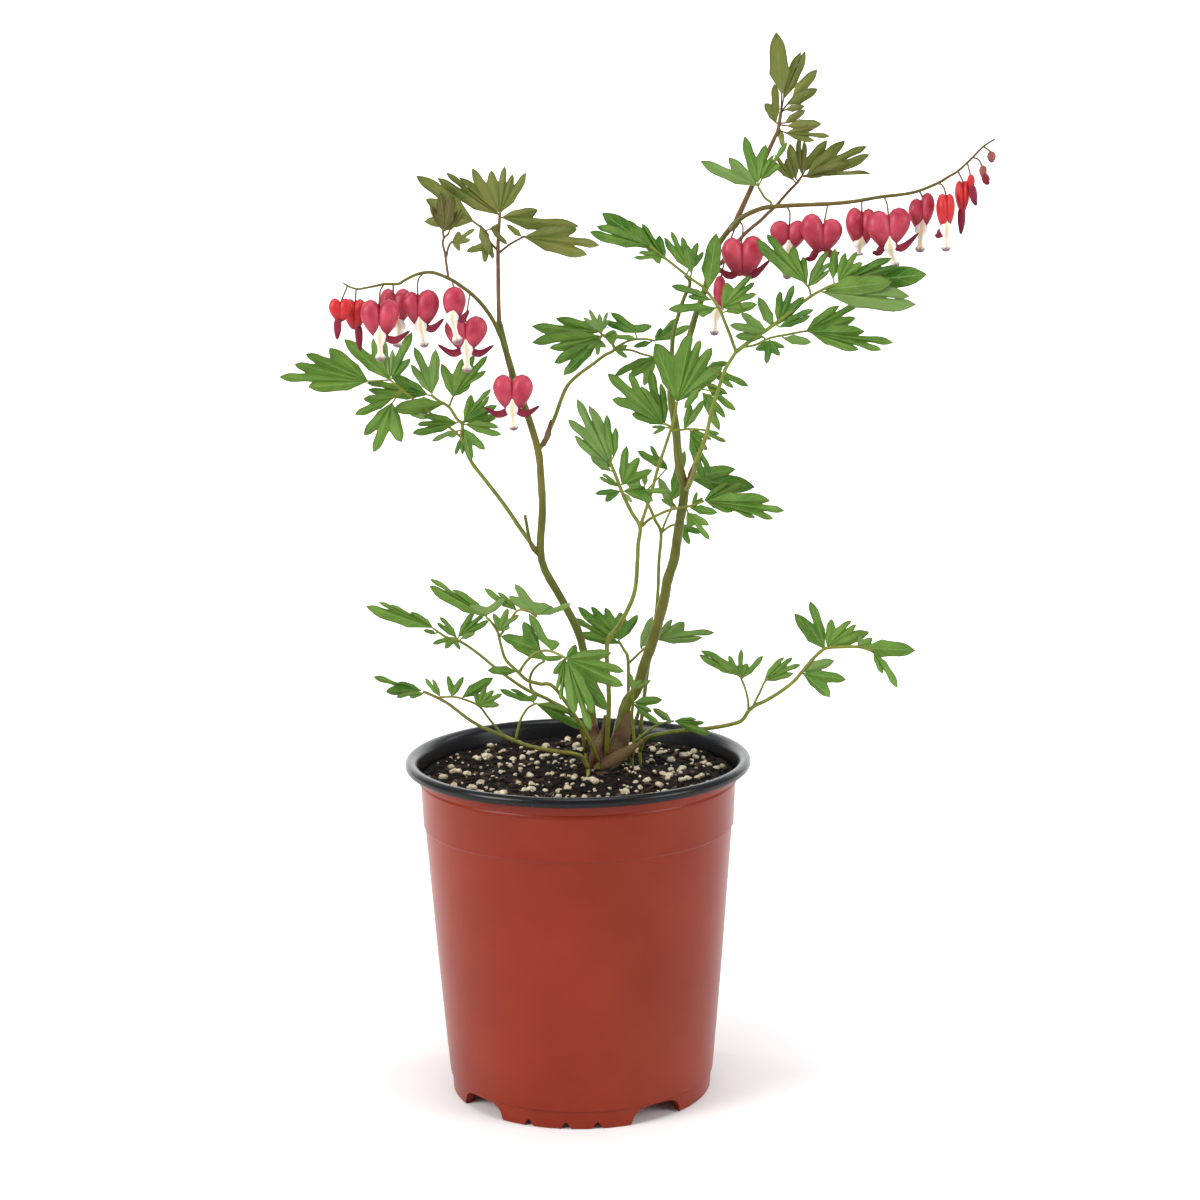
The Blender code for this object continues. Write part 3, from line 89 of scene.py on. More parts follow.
# %% Canes and racemes
CANES = {
    "left_cane": [
        (2.1, 1.45, [(598, 757, 9), (590, 700, 10), (581, 640, 10), (562, 600, 5), (541.5, 560, 0),
                     (542.5, 510, -3), (541, 480, -4), (538, 450, -5), (525.5, 409, -3),
                     (515, 382, -2), (504.5, 345, 0), (501, 330, 0), (499, 322, 0)]),
        (1.0, 0.8, [(540, 556, 0), (531, 545, -3), (525, 515, -5)]),
    ],
    "right_cane": [
        (2.9, 1.9, [(613, 765, 6), (617, 740, 8), (623, 715, 10), (628, 700, 11), (636.5, 690, 12),
                    (646, 660, 12), (653, 640, 12), (664, 600, 9), (667.5, 580, 7), (674, 560, 5),
                    (677, 540, 4), (680, 520, 2), (683.5, 500, 1), (684, 485, 0), (680, 470, 2),
                    (678, 455, 4), (676, 430, 6), (673, 410, 7), (671, 395, 8), (673, 376, 9)]),
        (1.1, 0.8, [(672, 385, 9), (672.5, 340, 11), (679, 313, 13), (684, 298, 13),
                    (690, 283, 14), (685, 275, 14)]),
        (1.6, 1.3, [(674, 385, 9), (680, 370, 10), (690.5, 333, 12), (696, 314, 12),
                    (702, 298, 12), (706, 285, 12), (709, 270, 11), (713, 255, 8), (720, 242, 5),
                    (729, 230, 2), (737, 220, 0)]),
        (1.5, 0.8, [(614, 752, 7), (604, 738, 3), (605, 715, 2)]),
        (1.3, 0.7, [(620, 735, 8), (635, 722, 8), (641, 700, 9)]),
        (0.9, 0.7, [(684, 492, 1), (691, 480, 3), (697, 458, 5)]),
    ],
    "left_raceme": [
        (1.05, 0.45, [(506, 350, -3.2), (500, 335, -3.6), (494, 322, -5), (487, 311), (478, 300),
                      (468, 291, -12), (458, 284), (450, 279, -18), (435, 273), (425, 272.5),
                      (415, 275), (405, 280, -22), (398, 284), (385, 284), (375, 286), (365, 288),
                      (358, 289), (350, 287), (343, 283, -26)]),
    ],
    "right_raceme": [
        (1.25, 0.45, [(735, 226, -3.4), (740, 219, -4), (748, 214, -5), (760, 209), (770, 207, -7),
                      (790, 205.5), (825, 204), (845, 202.5, -12), (860, 200.5), (880, 197),
                      (905, 194), (920, 190.5, -16), (938, 183), (948, 177), (958, 171),
                      (972, 158), (984, 146), (995, 139, -20)]),
    ],
}
print("stems of canes and racemes:", sum(len(stems) for stems in CANES.values()))

# %% [markdown]
# A compound leaf is a branching petiole with lobed leaflets. Each leaflet is its base, the tips of
# its lobes in order round the edge, how its depth slopes along and across, and a shift in depth.

# %% Leaves
LEAVES = {
    "left_shoot": dict(stems=[
        (0.9, 0.6, [(499, 318.6, 1), (498.5, 300, 2), (498, 250, 4), (498.5, 235), (500, 213, 6)]),
        (0.5, 0.45, [(499, 253, 4), (505, 248), (512, 243), (525, 236, 3)]),
        (0.5, 0.45, [(497.5, 250, 4), (490, 242), (484, 230), (478, 225), (470, 219, 8)]),
    ], leaflets=[
        ((500, 213), [(471.5, 169.7), (491, 172), (504.5, 167.4), (512.4, 175.8), (525.8, 174)], .3, .1, 0),
        ((499, 215), [(439, 179), (447.3, 173), (460.4, 178.2)], .3, 0, 2),
        ((474, 221), [(424.5, 222.3), (426.3, 200), (416.7, 176.2)], .1, .1, 0),
        ((490, 242), [(466, 252), (484.5, 263.2), (493, 259.5)], -.4, 0, 0),
        ((490, 228), [(499, 224), (507.8, 244.6)], -.3, 0, -1),
        ((480, 224), [(490, 255)], -.3, 0, 0),
        ((501, 217.6), [(536.6, 209.3), (578, 226)], .2, 0, 0),
        ((522, 237), [(507, 224.5)], .2, 0, 0),
        ((523, 237), [(578, 228), (601, 244.6), (588.3, 254.3)], -.2, .1, 0),
    ]),
    "elbow_sprig": dict(stems=[
        (0.5, 0.45, [(448, 275, -18), (446.4, 264), (445, 253), (442.7, 244), (443.6, 238),
                     (442.7, 230.6, -19)]),
        (0.45, 0.45, [(443.6, 238, -18.6), (448.3, 234, -19)]),
        (0.45, 0.45, [(446.4, 256.7, -18.2), (448.3, 247.4), (452, 241, -19)]),
    ], leaflets=[
        ((443, 231), [(430.5, 205.5), (441.5, 191.5)], .2, 0, 0),
        ((449, 232), [(454, 195), (461, 208.5), (465, 206)], -.2, 0, 0),
        ((452, 243), [(459, 231), (475.5, 228.5), (471, 240), (460, 251)], -.2, 0, 0),
    ]),
    "left_leaf": dict(stems=[
        (0.85, 0.6, [(535, 549, 1), (520, 528, 4), (510, 513), (500, 499), (482, 476),
                     (471.5, 462), (465, 447), (461.5, 437, 10), (462.3, 424.6), (457, 419),
                     (449, 407, 13), (439, 401), (432.3, 396, 14)]),
        (0.5, 0.45, [(449, 407, 13), (452.3, 397.7, 14)]),
        (0.55, 0.45, [(461, 437, 10), (445, 424), (425, 409), (412, 398), (390, 380, 12)]),
    ], leaflets=[
        ((368.5, 381.5), [(329.7, 347.7), (305.7, 353.8), (294.6, 364), (279, 377), (308.5, 387.5)],
         -.1, .1, 0),
        ((428, 395), [(393, 374.5), (368, 382.5), (369, 389.5)], .2, 0, 1),
        ((432, 394), [(411.5, 365.4), (414.6, 347.7), (436.6, 350.3)], .3, 0, 0),
        ((389, 380), [(345, 339), (374, 338)], .1, 0, 2),
        ((390, 378), [(384, 339), (393, 350)], .3, 0, 1),
        ((391, 380), [(412.3, 332.3), (410.8, 359)], .2, 0, 0),
        ((394, 398), [(362.4, 398.5), (354, 414.6)], -.3, 0, 0),
        ((392, 402), [(363.5, 436.6), (373.4, 453.8), (401.5, 443.8)], -.4, 0, 0),
        ((444, 404), [(391.5, 409)], -.3, 0, 0),
        ((405, 409), [(427.5, 419)], -.2, 0, 0),
        ((458, 423), [(422, 415), (416, 424), (410.8, 432.8)], -.3, 0, 0),
        ((459, 430), [(431.2, 441.5), (453, 438)], -.3, 0, 0),
        ((453, 397), [(441.5, 364.6), (462.8, 359.2)], .3, 0, 0),
        ((454, 396), [(473.8, 355), (487, 356), (486, 371), (470, 386.5)], .2, 0, 0),
        ((464, 421), [(470.8, 394.6), (491, 389), (489.5, 396)], .2, 0, 0),
        ((464, 422), [(497, 405), (509, 414), (496, 418)], .1, 0, 0),
        ((464, 424), [(500, 427), (502.6, 434.6)], -.2, 0, 0),
        ((463, 428), [(486, 450.5), (471.8, 462)], -.4, 0, 0),
        ((461, 437), [(455.4, 455.4), (463, 455)], -.3, 0, 0),
    ]),
    "mid_left_leaf": dict(stems=[
        (0.8, 0.6, [(544, 441, -2), (548, 433, 0), (555, 417, 4), (561.7, 398), (568, 385),
                    (578, 375), (591.7, 365), (605, 355), (614, 350, 20), (611, 341),
                    (606, 337), (601, 334, 20)]),
        (0.5, 0.45, [(614, 349, 20), (622, 344), (632, 340), (645, 339), (655, 341, 24)]),
        (0.5, 0.45, [(614, 350, 20), (630, 350), (642, 354), (654, 357, 24)]),
    ], leaflets=[
        ((601, 332), [(557, 318), (532.5, 326)], .2, 0, 1),
        ((602, 336), [(530.8, 342.5), (548.3, 348.3)], -.2, 0, 0),
        ((600, 338), [(553, 363.7), (562.5, 375.8)], -.3, 0, 0),
        ((601, 332), [(583.5, 318), (589.5, 309.6), (600, 314)], .4, 0, 0),
        ((602, 331), [(607.5, 312), (609, 320)], .3, 0, 0),
        ((604, 335), [(615, 330), (636, 338), (613, 345)], -.3, 0, -1),
        ((600, 339), [(586, 350), (597.5, 356), (606, 347.5)], -.5, 0, 0),
        ((636.7, 333), [(604, 321), (611.3, 312.5), (652.5, 326)], .3, 0, 0),
        ((614, 350), [(627.8, 357.8), (628, 345)], -.3, 0, 0),
        ((655, 341), [(660, 328), (675, 318.5), (690, 326)], .3, 0, 0),
        ((652, 342), [(633, 346.7)], -.2, 0, 0),
        ((655, 357), [(645, 385), (629, 377), (615, 375)], .3, 0, 0),
    ]),
    "centre_leaf": dict(stems=[
        (0.95, 0.7, [(606, 757, 1), (609, 700, -3), (607, 645, -6), (618, 627), (627.5, 610),
                     (635, 590), (637.5, 560), (638, 545), (640, 527, -10), (632, 513), (625, 499),
                     (620, 487), (615, 474), (610, 462, -10)]),
        (0.7, 0.55, [(640, 527, -10), (650, 497, -11), (658, 468, -12), (664, 450), (670, 432, -16),
                     (674, 418), (677, 402, -18)]),
        (0.5, 0.45, [(670, 431, -16), (680, 430), (690, 429), (705, 430, -17)]),
        (0.6, 0.5, [(641, 527, -10), (650, 519, -9), (662, 513), (673, 509), (690, 506),
                    (704, 501, -9)]),
    ], leaflets=[
        ((612, 468), [(575, 436), (568.5, 420), (577.7, 399), (589.7, 405.7)], .2, 0, 0),
        ((614, 458), [(606.6, 414.6), (616, 427.7)], .2, 0, 0),
        ((622, 485), [(626, 445.7), (639, 457.4), (652, 470)], .2, 0, 0),
        ((612, 472), [(590, 456)], -.2, 0, 0),
        ((619, 487), [(601.5, 473), (598.5, 476)], -.2, 0, 0),
        ((621, 491), [(594, 493.4), (604.6, 502)], -.4, 0, 0),
        ((624, 493), [(632.8, 503)], -.4, 0, 0),
        ((623, 491), [(645, 486), (672, 490), (653.8, 500.8)], -.3, 0, 0),
        ((677, 402), [(655, 342), (691, 331.7), (700.5, 338.3), (712, 346.3), (723, 365)], -.2, 0, 0),
        ((664, 425), [(631, 413.5), (611, 398.3), (606.6, 372), (628.5, 371.7), (640, 385)], -.2, 0, 0),
        ((665, 425), [(650.6, 369), (660.8, 383)], .1, 0, 0),
        ((667, 427), [(651, 427), (652.3, 434)], -.3, 0, 0),
        ((684, 430), [(690.5, 403), (704, 399)], -.2, 0, 0),
        ((690, 431), [(711, 438), (707, 449), (710, 473), (704, 479)], .3, 0, 0),
        ((703, 430), [(720, 434), (727, 442)], -.3, 0, 0),
        ((704, 501), [(728, 481.5), (743.8, 481.3)], .3, 0, 0),
        ((705, 501), [(771, 499.5), (785.2, 510.3), (773.8, 518.8), (755.8, 517.4), (730.8, 512)],
         -.2, 0, 0),
        ((692, 508), [(697, 491.5), (703, 498)], .2, 0, 0),
        ((690, 508), [(718, 512.5)], -.2, 0, 0),
        ((687, 512), [(709.7, 525), (710.3, 540.5), (688.5, 527)], -.4, 0, 0),
    ]),
    "second_centre_leaf": dict(stems=[
        (0.8, 0.6, [(640, 733, 20), (645, 690, 22), (652, 640, 24), (656, 615, 23), (658, 590, 21),
                    (659, 560, 19), (661, 533, 18), (655, 520), (650, 508), (645, 500),
                    (640, 495, 18)]),
        (0.5, 0.45, [(661, 533, 18), (667, 518), (671, 510, 18)]),
        (0.5, 0.45, [(661, 533, 18), (670, 526), (678, 524, 18)]),
    ], leaflets=[
        ((645, 487), [(645, 469)], .2, 0, 0),
        ((672, 505), [(659, 478)], .3, 0, 0),
        ((640, 495), [(624, 478), (636, 472)], .3, 0, 0),
        ((677, 507), [(661, 499)], .2, 0, 0),
        ((678, 524), [(702, 533), (690, 545)], -.3, 0, 0),
        ((668, 470), [(659, 456), (650.8, 445), (637.6, 450.6)], .2, 0, 0),
        ((672, 500), [(686, 486), (684.6, 451)], .3, 0, 0),
    ]),
    "right_upper_leaf": dict(stems=[
        (0.85, 0.7, [(687.5, 488, -3.4), (690, 482, -7), (693, 475, -12), (697, 460, -20),
                     (703, 445, -25),
                     (707, 432, -26), (712, 410, -25), (718, 390), (725, 370), (732, 358),
                     (736, 352, -24)]),
        (0.65, 0.5, [(736, 352, -24), (730, 335), (724, 320), (720, 310), (712, 298), (703, 287),
                     (693, 280), (680, 270), (665, 258), (650, 246, -28)]),
        (0.85, 0.5, [(736, 352, -24), (750, 341), (765, 331), (780, 320), (795, 308), (810, 297),
                     (820, 291), (830, 286), (840, 283, -27)]),
        (0.5, 0.45, [(744, 347, -24), (755, 345), (770, 338), (785, 335), (800, 332), (807, 331, -24)]),
        (0.45, 0.45, [(811, 297, -25.6), (809, 288), (803, 281, -27)]),
    ], leaflets=[
        ((650, 246), [(588.3, 231.3), (595.3, 225.8)], -.2, 0, 0),
        ((655, 250), [(602.8, 213.3)], .2, 0, 0),
        ((665, 260), [(629, 220.8), (642.5, 224), (660, 236)], .2, 0, 0),
        ((662, 256), [(638, 252), (633, 257.8), (659, 264)], -.3, 0, 0),
        ((690, 270), [(664, 238), (671, 231.8), (682, 237), (698, 243), (704, 252)], .2, 0, 0),
        ((692, 275), [(685.8, 242.5)], -.2, 0, -1),
        ((708, 290), [(716, 233.3)], .1, 0, 0),
        ((712, 300), [(687, 296), (670, 285.3)], -.2, 0, 0),
        ((716, 308), [(667, 309.5), (700, 317)], -.3, 0, 0),
        ((722, 308), [(727, 282), (751.7, 274.7), (755, 281.7), (757, 293.3), (740.8, 307.5)],
         -.2, 0, 0),
        ((724, 312), [(758, 303.7)], -.2, 0, 0),
        ((768, 332), [(728.4, 324.5), (740, 312)], -.2, 0, -1),
        ((774, 328), [(758, 296.7)], .1, 0, 0),
        ((778, 325), [(780, 290), (793.7, 284), (804, 296)], -.1, 0, 0),
        ((778, 328), [(814, 309), (811, 315)], -.1, 0, -1),
        ((765, 337), [(733.8, 336)], -.3, 0, 0),
        ((770, 340), [(785, 348), (780, 356), (766.3, 364.4), (755, 350)], -.4, 0, 0),
        ((782, 338), [(812.3, 342.4)], -.3, 0, 0),
        ((806, 331), [(838.3, 305.2), (857.7, 303.4), (855, 318)], .1, 0, 0),
        ((809, 332), [(865, 331), (894, 342.4), (882.3, 350), (859.4, 350)], -.2, 0, 0),
        ((807, 284), [(755.5, 239), (766, 233.4), (793, 245), (803, 256)], -.1, 0, 0),
        ((808, 287), [(828, 250.5), (830, 263), (829, 270)], .2, 0, 0),
        ((833, 280), [(834.7, 248.5)], .1, 0, 0),
        ((838, 282), [(845, 252), (857, 251), (862.5, 262)], -.1, 0, 0),
        ((846, 281), [(891.4, 257.6), (896, 266)], -.1, 0, 0),
        ((850, 282), [(927, 274)], -.1, 0, .6),
        ((825, 290), [(893, 281.5)], -.2, 0, 0),
        ((821, 292), [(910.5, 296), (917, 304.5)], -.2, 0, .8),
    ]),
    "low_top_leaf": dict(stems=[
        (0.5, 0.45, [(770.5, 202, -7.5), (765, 198, -9), (760, 190), (758, 187, -10)]),
    ], leaflets=[
        ((758, 186), [(701, 161.6), (729.3, 157.6)], .2, 0, 0),
        ((758, 183), [(744.2, 137), (766, 145.5)], .2, 0, 0),
        ((761, 180), [(773, 155), (787, 142), (780, 165)], .1, 0, 0),
    ]),
    "top_shoot": dict(stems=[
        (1.1, 0.7, [(738.4, 216, 0), (742, 208, 1), (748, 195, 3), (755, 180), (762, 165),
                    (769, 150), (775, 137), (778, 130), (781, 112, 6)]),
    ], leaflets=[
        ((782, 95), [(775.8, 32.7)], .1, 0, 0),
        ((783, 100), [(800, 53), (804.5, 52)], .2, 0, 1),
        ((792, 98), [(816.5, 70)], .2, 0, 0),
        ((786, 105), [(818.5, 88.3)], -.2, 0, 0),
        ((784, 110), [(805.5, 106)], -.3, 0, 0),
        ((776, 124), [(764, 103), (774, 82.8)], -.2, 0, 0),
        ((784, 124), [(805.8, 109.4)], -.2, 0, 0),
        ((786, 126), [(822.6, 123.8)], -.3, 0, 0),
        ((780, 128), [(783, 148)], -.3, 0, 0),
        ((785, 133), [(815.9, 127), (830.7, 136.3), (815, 141)], -.2, 0, 0),
    ]),
    "second_cluster": dict(stems=[
        (0.8, 0.5, [(716, 266, 14), (722, 262, 15), (741, 238, 16), (750, 229), (760, 221),
                    (768, 213), (775, 207, 10), (782, 199), (790, 190), (797, 183), (802, 176, 10)]),
    ], leaflets=[
        ((802, 175), [(799, 137), (804, 141.5)], .2, 0, 0),
        ((796, 180), [(789.6, 143.7)], .1, 0, 0),
        ((794, 181), [(771.4, 160), (774, 154), (786, 158)], -.2, 0, 0),
        ((806, 176), [(843.5, 141), (865.7, 146.8), (868, 155)], .2, 0, 0),
        ((804, 177), [(850, 162), (871.7, 174), (836, 171.3), (824, 175)], -.1, 0, 0),
        ((804, 172), [(826, 141)], .3, 0, 2),
    ]),
    "low_left_leaf": dict(stems=[
        (0.75, 0.5, [(586, 752, 6), (578, 722, 0), (552, 701.5, -10), (529, 690.8), (514, 681.5),
                     (495.4, 667.7), (480, 655), (467.7, 646), (457, 640), (446, 637),
                     (434, 629, -22)]),
    ], leaflets=[
        ((433, 628), [(412.3, 611.5), (389.7, 604.3), (380, 601.5), (367.4, 605.7)], .2, 0, 0),
        ((437, 634), [(423, 629.7)], -.2, 0, 0),
        ((455, 637), [(432, 644), (445, 649), (460, 650)], -.4, 0, 0),
        ((457, 638), [(437.4, 622.3), (440, 616.5)], .2, 0, 0),
        ((458, 637), [(473.8, 611.2), (484, 614), (489, 620)], .1, 0, 0),
        ((460, 639), [(476, 632.3)], -.2, 0, 0),
    ]),
    "left_front_leaf": dict(stems=[
        (0.8, 0.5, [(598, 761, -3), (584, 730, -16), (555, 688, -28), (540, 684), (527, 680),
                    (520, 674), (517, 671, -34), (506, 660), (501.5, 647.7), (499, 637),
                    (497, 630.8), (490.8, 621.5), (486, 617, -36)]),
        (0.6, 0.5, [(519, 673, -34), (525, 663), (533, 655), (541, 651), (550, 651), (560, 655),
                    (567, 659, -50)]),
        (0.5, 0.45, [(499, 637, -35), (507, 626), (517, 611), (528, 611), (537, 617, -38)]),
    ], leaflets=[
        ((487, 617), [(453, 589), (431.5, 578.5), (430.5, 585.4)], .2, 0, 0),
        ((487, 615), [(469, 605), (506, 597.5)], .2, 0, 0),
        ((499, 631), [(493, 613), (508, 608), (519.5, 614.6), (510, 628)], .1, 0, -2),
        ((517, 611), [(485, 588), (498, 592)], .3, 0, 0),
        ((537, 615), [(508.5, 596.5), (515, 584), (550, 605.7), (571.5, 603.4)], .2, 0, 0),
        ((541, 651), [(500.8, 635.4), (523.8, 620.3)], -.1, 0, 0),
        ((552, 651), [(529, 613), (560, 643)], .1, 0, 0),
        ((517, 672), [(487, 669.5)], -.2, 0, 0),
        ((565, 658), [(552.8, 674), (557, 690), (560, 701), (568, 697)], -.3, 0, 0),
        ((567, 660), [(575, 715), (591.7, 732), (594, 715)], -.4, 0, 0),
        ((567, 659), [(606.7, 709.7), (624, 685), (624.7, 670.8), (612, 651.7)], -.1, 0, 0),
        ((566, 658), [(575, 644), (600, 651)], .2, 0, 0),
    ]),
    "rim_leaf": dict(stems=[
        (0.85, 0.6, [(588, 768, -9), (583, 758, -11), (575, 754, -13), (552, 750.8), (529, 746),
                     (517, 741.5, -20), (506, 737), (490.8, 730.8), (480, 726), (467.7, 718.5),
                     (455.4, 709), (446, 702.3), (433.8, 696), (423, 691.5, -30)]),
        (0.5, 0.45, [(503, 735.6, -21), (493.8, 724.6), (487.7, 717), (481.5, 708.5),
                     (475.4, 703.8), (466, 700), (455, 697), (440, 697, -30)]),
        (0.55, 0.45, [(515.4, 740.8, -20), (520, 721.5), (524.6, 712.3), (529, 707), (537, 703, -24)]),
    ], leaflets=[
        ((422, 691), [(396, 681.5), (372.3, 675.4), (385, 690.8)], -.3, 0, 0),
        ((425, 693), [(410, 698), (395, 697)], -.4, 0, 0),
        ((440, 697), [(425.4, 678), (433, 679)], .3, 0, 0),
        ((452, 697), [(447.6, 675.4), (463.8, 676.5)], .3, 0, 0),
        ((462, 698), [(492.3, 677.4)], .3, 0, 0),
        ((478, 706), [(474, 692), (486, 684.6), (493.8, 690), (502.3, 693.5), (499.7, 705)], .1, 0, -1),
        ((534, 702), [(500, 689), (510.8, 688.5), (538, 693)], .2, 0, 0),
        ((536, 704), [(571, 712), (590, 728)], .4, 0, 0),
    ]),
    "dark_leaf": dict(stems=[
        (0.7, 0.5, [(598, 745, 18), (570, 712, 8), (545, 698, 2), (532, 690, 0), (530, 680),
                    (532, 672), (538, 665), (545, 661, -4)]),
    ], leaflets=[
        ((543, 660), [(510.8, 643), (520, 643), (533.8, 647), (563, 658)], .2, 0, 0),
    ]),
    "back_cluster": dict(stems=[
        (0.8, 0.6, [(625, 744, 20), (628, 700, 24), (628, 660, 28), (624, 650, 30), (618, 640, 31)]),
        (0.55, 0.5, [(627, 665, 27.5), (645, 648, 31), (656, 641, 34)]),
    ], leaflets=[
        ((620, 640), [(638.7, 615), (620.8, 612.5), (605.8, 607.8), (591.7, 606.7), (578, 607)],
         .3, 0, 0),
        ((640, 648), [(652, 616.5), (664, 628)], .3, 0, 0),
        ((619, 644), [(579, 633), (573.3, 617), (585.8, 618.3)], -.1, 0, 0),
        ((657, 640), [(671.7, 618.7), (683, 621), (713.7, 632), (701.7, 637)], .2, 0, 0),
    ]),
    "crown_tuft": dict(stems=[
        (0.75, 0.5, [(632, 757, 4), (634, 742, 1), (632, 715, 0), (633, 704, -2), (632, 688, -4)]),
        (0.5, 0.45, [(634, 742, 1), (649, 730), (660, 724), (674, 721, 0)]),
    ], leaflets=[
        ((632, 690), [(630, 673), (642, 680), (651, 680)], .2, 0, 0),
        ((633, 704), [(652.5, 711), (660, 724)], -.3, 0, 0),
        ((633, 703), [(663, 699)], -.2, 0, 0),
        ((672, 722), [(653, 708)], .2, 0, 0),
        ((674, 721), [(697, 719), (705, 722), (711, 734)], -.3, 0, 0),
    ]),
    "right_rim_leaf": dict(stems=[
        (0.85, 0.65, [(640, 751, 9), (645, 739, 6), (665, 733, 2), (680, 731), (712, 727.8),
                      (733, 723.8), (742.5, 719.8), (748.5, 711, -3), (756, 705), (765, 701),
                      (780, 692), (793, 682), (801, 673), (810, 662), (820, 652), (827, 648),
                      (840, 647), (860, 647), (873, 651, -8)]),
        (0.5, 0.45, [(748.5, 711, -3), (748, 700), (745, 688), (741, 678, -5)]),
        (0.5, 0.45, [(753, 707, -3.4), (755, 702), (760, 692), (764, 683), (768, 678, -6)]),
    ], leaflets=[
        ((740, 676), [(701.3, 650), (699.6, 654)], .2, 0, 0),
        ((741, 677), [(718, 660.5), (728.9, 655), (740, 665)], .2, 0, 0),
        ((742, 679), [(741, 648.5), (746.5, 663), (762.9, 655)], .1, 0, 0),
        ((764, 681), [(783.4, 656.5), (792, 657), (800, 664), (793, 673)], .1, 0, 0),
        ((801, 672), [(834.8, 659.6)], -.2, 0, 0),
        ((802, 673), [(847.5, 679.3), (831, 697)], -.4, 0, 0),
        ((824, 649), [(795, 613.6)], .3, 0, 1),
        ((825, 648), [(803.4, 618.5), (809.8, 600.7)], .2, 0, 0),
        ((827, 647), [(830.6, 618.4), (850.7, 620), (856, 624)], .1, 0, 0),
        ((830, 647), [(868.3, 631)], .1, 0, 0),
        ((858, 646), [(860.3, 633.3), (872, 637.5), (885.6, 647)], .1, 0, 0),
        ((862, 648), [(915.6, 649.6)], -.2, 0, 0),
        ((873, 651), [(898, 688.6), (882.7, 674.5)], -.4, 0, 0),
    ]),
}
print("leaflets:", sum(len(leaf["leaflets"]) for leaf in LEAVES.values()))

# %% [markdown]
# A bloom hangs from its raceme: the shift in depth, the hang point, the box of each pouch, the two
# reflexed tips, the inner petals and the line of the pedicel.

# %% Blooms
HEART = "heart"
HEART_RED = "red_heart"
BLOOMS = [
    ("left", 0, (341, 302), [(328.5, 341.5, 298, 322), (339, 352, 298, 322)], [((338, 321), (337, 340))],
     None, [(346, 288.5)], HEART_RED),
    ("left", 9, (355.5, 302), [(343, 357, 298.5, 330), (353, 367, 298.5, 330)],
     [((358, 328), (360.5, 351.5))], None, [(356, 289)], HEART_RED),
    ("left", -2, (379, 309), [(360, 381, 299, 338), (378, 400, 299, 338)], [((384, 337), (411, 330))],
     ((380, 338), (380.5, 362)), [(384, 285), (380, 292)], HEART),
    ("left", 11, (393.5, 297), [(379, 397, 288, 326), (393, 413, 288, 326)], [],
     ((400, 327), (396.6, 348)), [(393, 284)], HEART),
    ("left", 1, (418, 299), [(403, 420, 291, 326), (416, 440, 289, 328)], [((426, 327), (444.3, 318))],
     ((421, 328), (425, 348)), [(424, 275), (418, 281)], HEART),
    ("left", -8, (454.5, 293), [(442.5, 466, 286, 320)], [((458, 318), (469.6, 309.7))],
     ((452, 319), (458.5, 345)), [(453, 279)], HEART),
    ("left", -2, (466, 318), [(444, 467, 315.5, 351), (464, 488, 315.5, 351)],
     [((463, 350), (437, 344)), ((469, 350), (494.4, 344.6))], ((467, 351), (467, 373)),
     [(470, 293)], HEART),
    ("left", -7, (511, 384), [(492.5, 513.5, 374, 411), (510.5, 533.5, 374, 411)],
     [((510, 410), (483.6, 407)), ((515, 410), (540.3, 405.4))], ((512, 411), (514, 431)),
     [(508, 353)], HEART),
    ("right", -3, (741, 246), [(721, 743.5, 237, 277), (740.5, 765, 235, 277)],
     [((738, 273), (713.6, 264.6)), ((745, 273), (770.8, 259))], None, [(742, 222), (743, 228)],
     HEART),
    ("right", 14, (721, 279), [(713, 727, 275, 314)], [], ((716, 314), (714, 336)),
     [(737, 224), (727, 250)], HEART),
    ("right", 1, (789, 229), [(769.5, 790.5, 220, 250), (787.5, 808, 220, 250)], [],
     ((788, 250), (787, 280)), [(787, 209), (790, 214)], HEART),
    ("right", -2, (823.5, 227), [(800, 823.5, 213, 253), (820.5, 843, 218, 252)],
     [((818, 251), (804.4, 258.5)), ((826, 251), (840, 252))], None, [(828, 206)], HEART),
    ("right", 1, (862, 217), [(845, 864, 207, 248), (860, 877, 208, 246)], [],
     ((859, 246), (859, 256)), [(862, 202)], HEART),
    ("right", -6, (889, 221), [(866, 891, 210, 250), (887, 911, 207, 246)],
     [((884, 247), (872, 252)), ((894, 246), (919, 232.5))], ((890, 248), (896, 268)),
     [(884, 198.5), (887, 204)], HEART),
    ("right", 3, (922, 196), [(908, 925, 198, 232), (920, 935, 192, 228)], [],
     ((921, 231), (920, 253)), [(919, 191)], HEART),
    ("right", -5, (946, 196), [(936, 948.5, 193, 232), (944, 955, 193, 230)],
     [((943, 230), (934.5, 235))], ((946, 231), (946, 252)), [(938, 184.5), (943, 186)], HEART_RED),
    ("right", 2, (963, 182), [(954.5, 964, 180, 213), (961, 970, 180, 213)],
     [((962, 211), (960.7, 235))], None, [(959, 172.5)], HEART_RED),
    ("right", -1, (970.5, 176), [(967, 975, 174, 190)], [((971.5, 188), (976.5, 206))], None,
     [(968, 163)], HEART_RED),
    ("right", 1, (982, 167), [(979, 987, 165, 178)], [((984, 176), (990, 183))], None,
     [(973, 157.5), (979, 160)], HEART_RED),
    ("right", 0, (991, 152), [(987, 996, 151, 163)], [], None, [(984, 147)], HEART_RED),
]
print("blooms:", len(BLOOMS))

# %% [markdown]
# These helpers find depths and places on the stems, and turn a coarse run of points into a smooth
# one. A Catmull-Rom curve goes through every point it is given, which keeps the picture's course.

